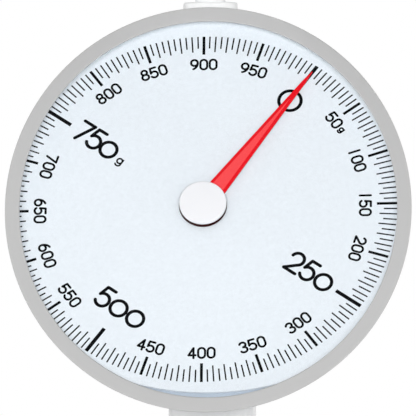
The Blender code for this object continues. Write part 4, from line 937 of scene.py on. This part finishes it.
# 1 for rays that a viewer, a mirror or a clear lens sends out
def seenRays(tree):
    path = addNode(tree, "LightPath").outputs
    total = path["Is Camera Ray"]
    for name in ("Is Glossy Ray", "Is Transmission Ray"):
        total = addNode(tree, "Math", {0: total, 1: path[name]}, "MAXIMUM").outputs[0]
    return total


bm = lathe(bmesh.new(), [(radius, stage["level"]) for radius in stage["rings"]], stage["sides"], "Z", False)
mesh = bpy.data.meshes.new("floor")
bm.to_mesh(mesh)
bm.free()
floor = bpy.data.objects.new("floor", mesh)
scene.collection.objects.link(floor)
paper = bpy.data.materials.new("floorPaper")
paper.use_nodes = True
tree = paper.node_tree
shader = tree.nodes["Principled BSDF"]
shader.inputs["Base Color"].default_value = (*stage["floor"], 1.0)
shader.inputs["Roughness"].default_value = stage["floorRough"]
place = addNode(tree, "TexCoord").outputs["Object"]
distance = addNode(tree, "VectorMath", {0: place}, "LENGTH").outputs["Value"]
fade = addNode(tree, "MapRange", {"Value": distance, "From Min": stage["near"], "From Max": stage["far"]})
fade.interpolation_type = "SMOOTHSTEP"
both = addNode(tree, "Math", {0: fade.outputs["Result"], 1: seenRays(tree)}, "MULTIPLY")
glow = addNode(tree, "Emission")
mix = addNode(tree, "MixShader", {0: both.outputs[0], 1: shader.outputs[0], 2: glow.outputs[0]})
tree.links.new(mix.outputs[0], tree.nodes["Material Output"].inputs["Surface"])
mesh.materials.append(paper)

world = bpy.data.worlds.new("studio")
scene.world = world
world.use_nodes = True
tree = world.node_tree
backdrop = tree.nodes["Background"]
backdrop.inputs["Color"].default_value = (1.0, 1.0, 1.0, 1.0)
strength = addNode(tree, "MapRange", {"Value": seenRays(tree), "To Min": stage["ambient"], "To Max": 1.0})
tree.links.new(strength.outputs["Result"], backdrop.inputs["Strength"])

lamps = {
    "key": {"place": (-0.15, -2.4, 0.15), "size": 0.5, "power": 29.0, "mirrored": False},
    "fill": {"place": (0.25, -2.4, 0.06), "size": 0.5, "power": 27.0, "mirrored": False},
    "top": {"place": (-0.5, -0.6, 2.0), "size": 1.2, "power": 3.0, "mirrored": True},
    "left": {"place": (-1.9, 0.25, 0.7), "size": 1.2, "power": 8.0, "mirrored": True},
    "right": {"place": (1.9, 0.25, 0.7), "size": 1.2, "power": 8.0, "mirrored": True},
    "rear": {"place": (0.5, 1.8, 0.8), "size": 1.2, "power": 10.0, "mirrored": False},
    "above": {"place": (0.5, 1.4, 1.9), "size": 1.4, "power": 15.0, "mirrored": False},
}
lampTarget = Vector((0.0, 0.0, 0.09))
for name, lamp in lamps.items():
    data = bpy.data.lights.new(name, "AREA")
    data.shape = "DISK"
    data.size = lamp["size"]
    data.energy = lamp["power"]
    light = bpy.data.objects.new(name, data)
    light.location = lamp["place"]
    light.visible_glossy = lamp["mirrored"]  # bright metal would burn out if it showed them all
    light.rotation_euler = (lampTarget - light.location).to_track_quat("-Z", "Y").to_euler()
    scene.collection.objects.link(light)

view = {
    "distance": 2.5,
    "right": math.radians(1.2),
    "below": math.radians(0.58),
    "roll": math.radians(-0.34),
    "focal": 7709.0,  # in pixels, as the shift is
    "shift": (0.13, -1.02),
    "pixels": 416,
    "sensor": 36.0,
}
data = bpy.data.cameras.new("camera")
data.sensor_width = view["sensor"]
data.lens = view["focal"] * view["sensor"] / view["pixels"]
camera = bpy.data.objects.new("camera", data)
ahead = math.cos(view["below"])
look = Vector((-math.sin(view["right"]) * ahead, math.cos(view["right"]) * ahead, math.sin(view["below"])))
turn = look.to_track_quat("-Z", "Y").to_matrix() @ Matrix.Rotation(view["roll"], 3, "Z")
pixel = view["distance"] / view["focal"]
aim = Vector((0.0, rimY, axisHeight))
aim += (turn.col[1] * view["shift"][1] - turn.col[0] * view["shift"][0]) * pixel
camera.location = aim - look * view["distance"]
camera.rotation_euler = turn.to_euler()
scene.collection.objects.link(camera)
scene.camera = camera
scene.view_settings.view_transform = "Standard"
print("stage set")
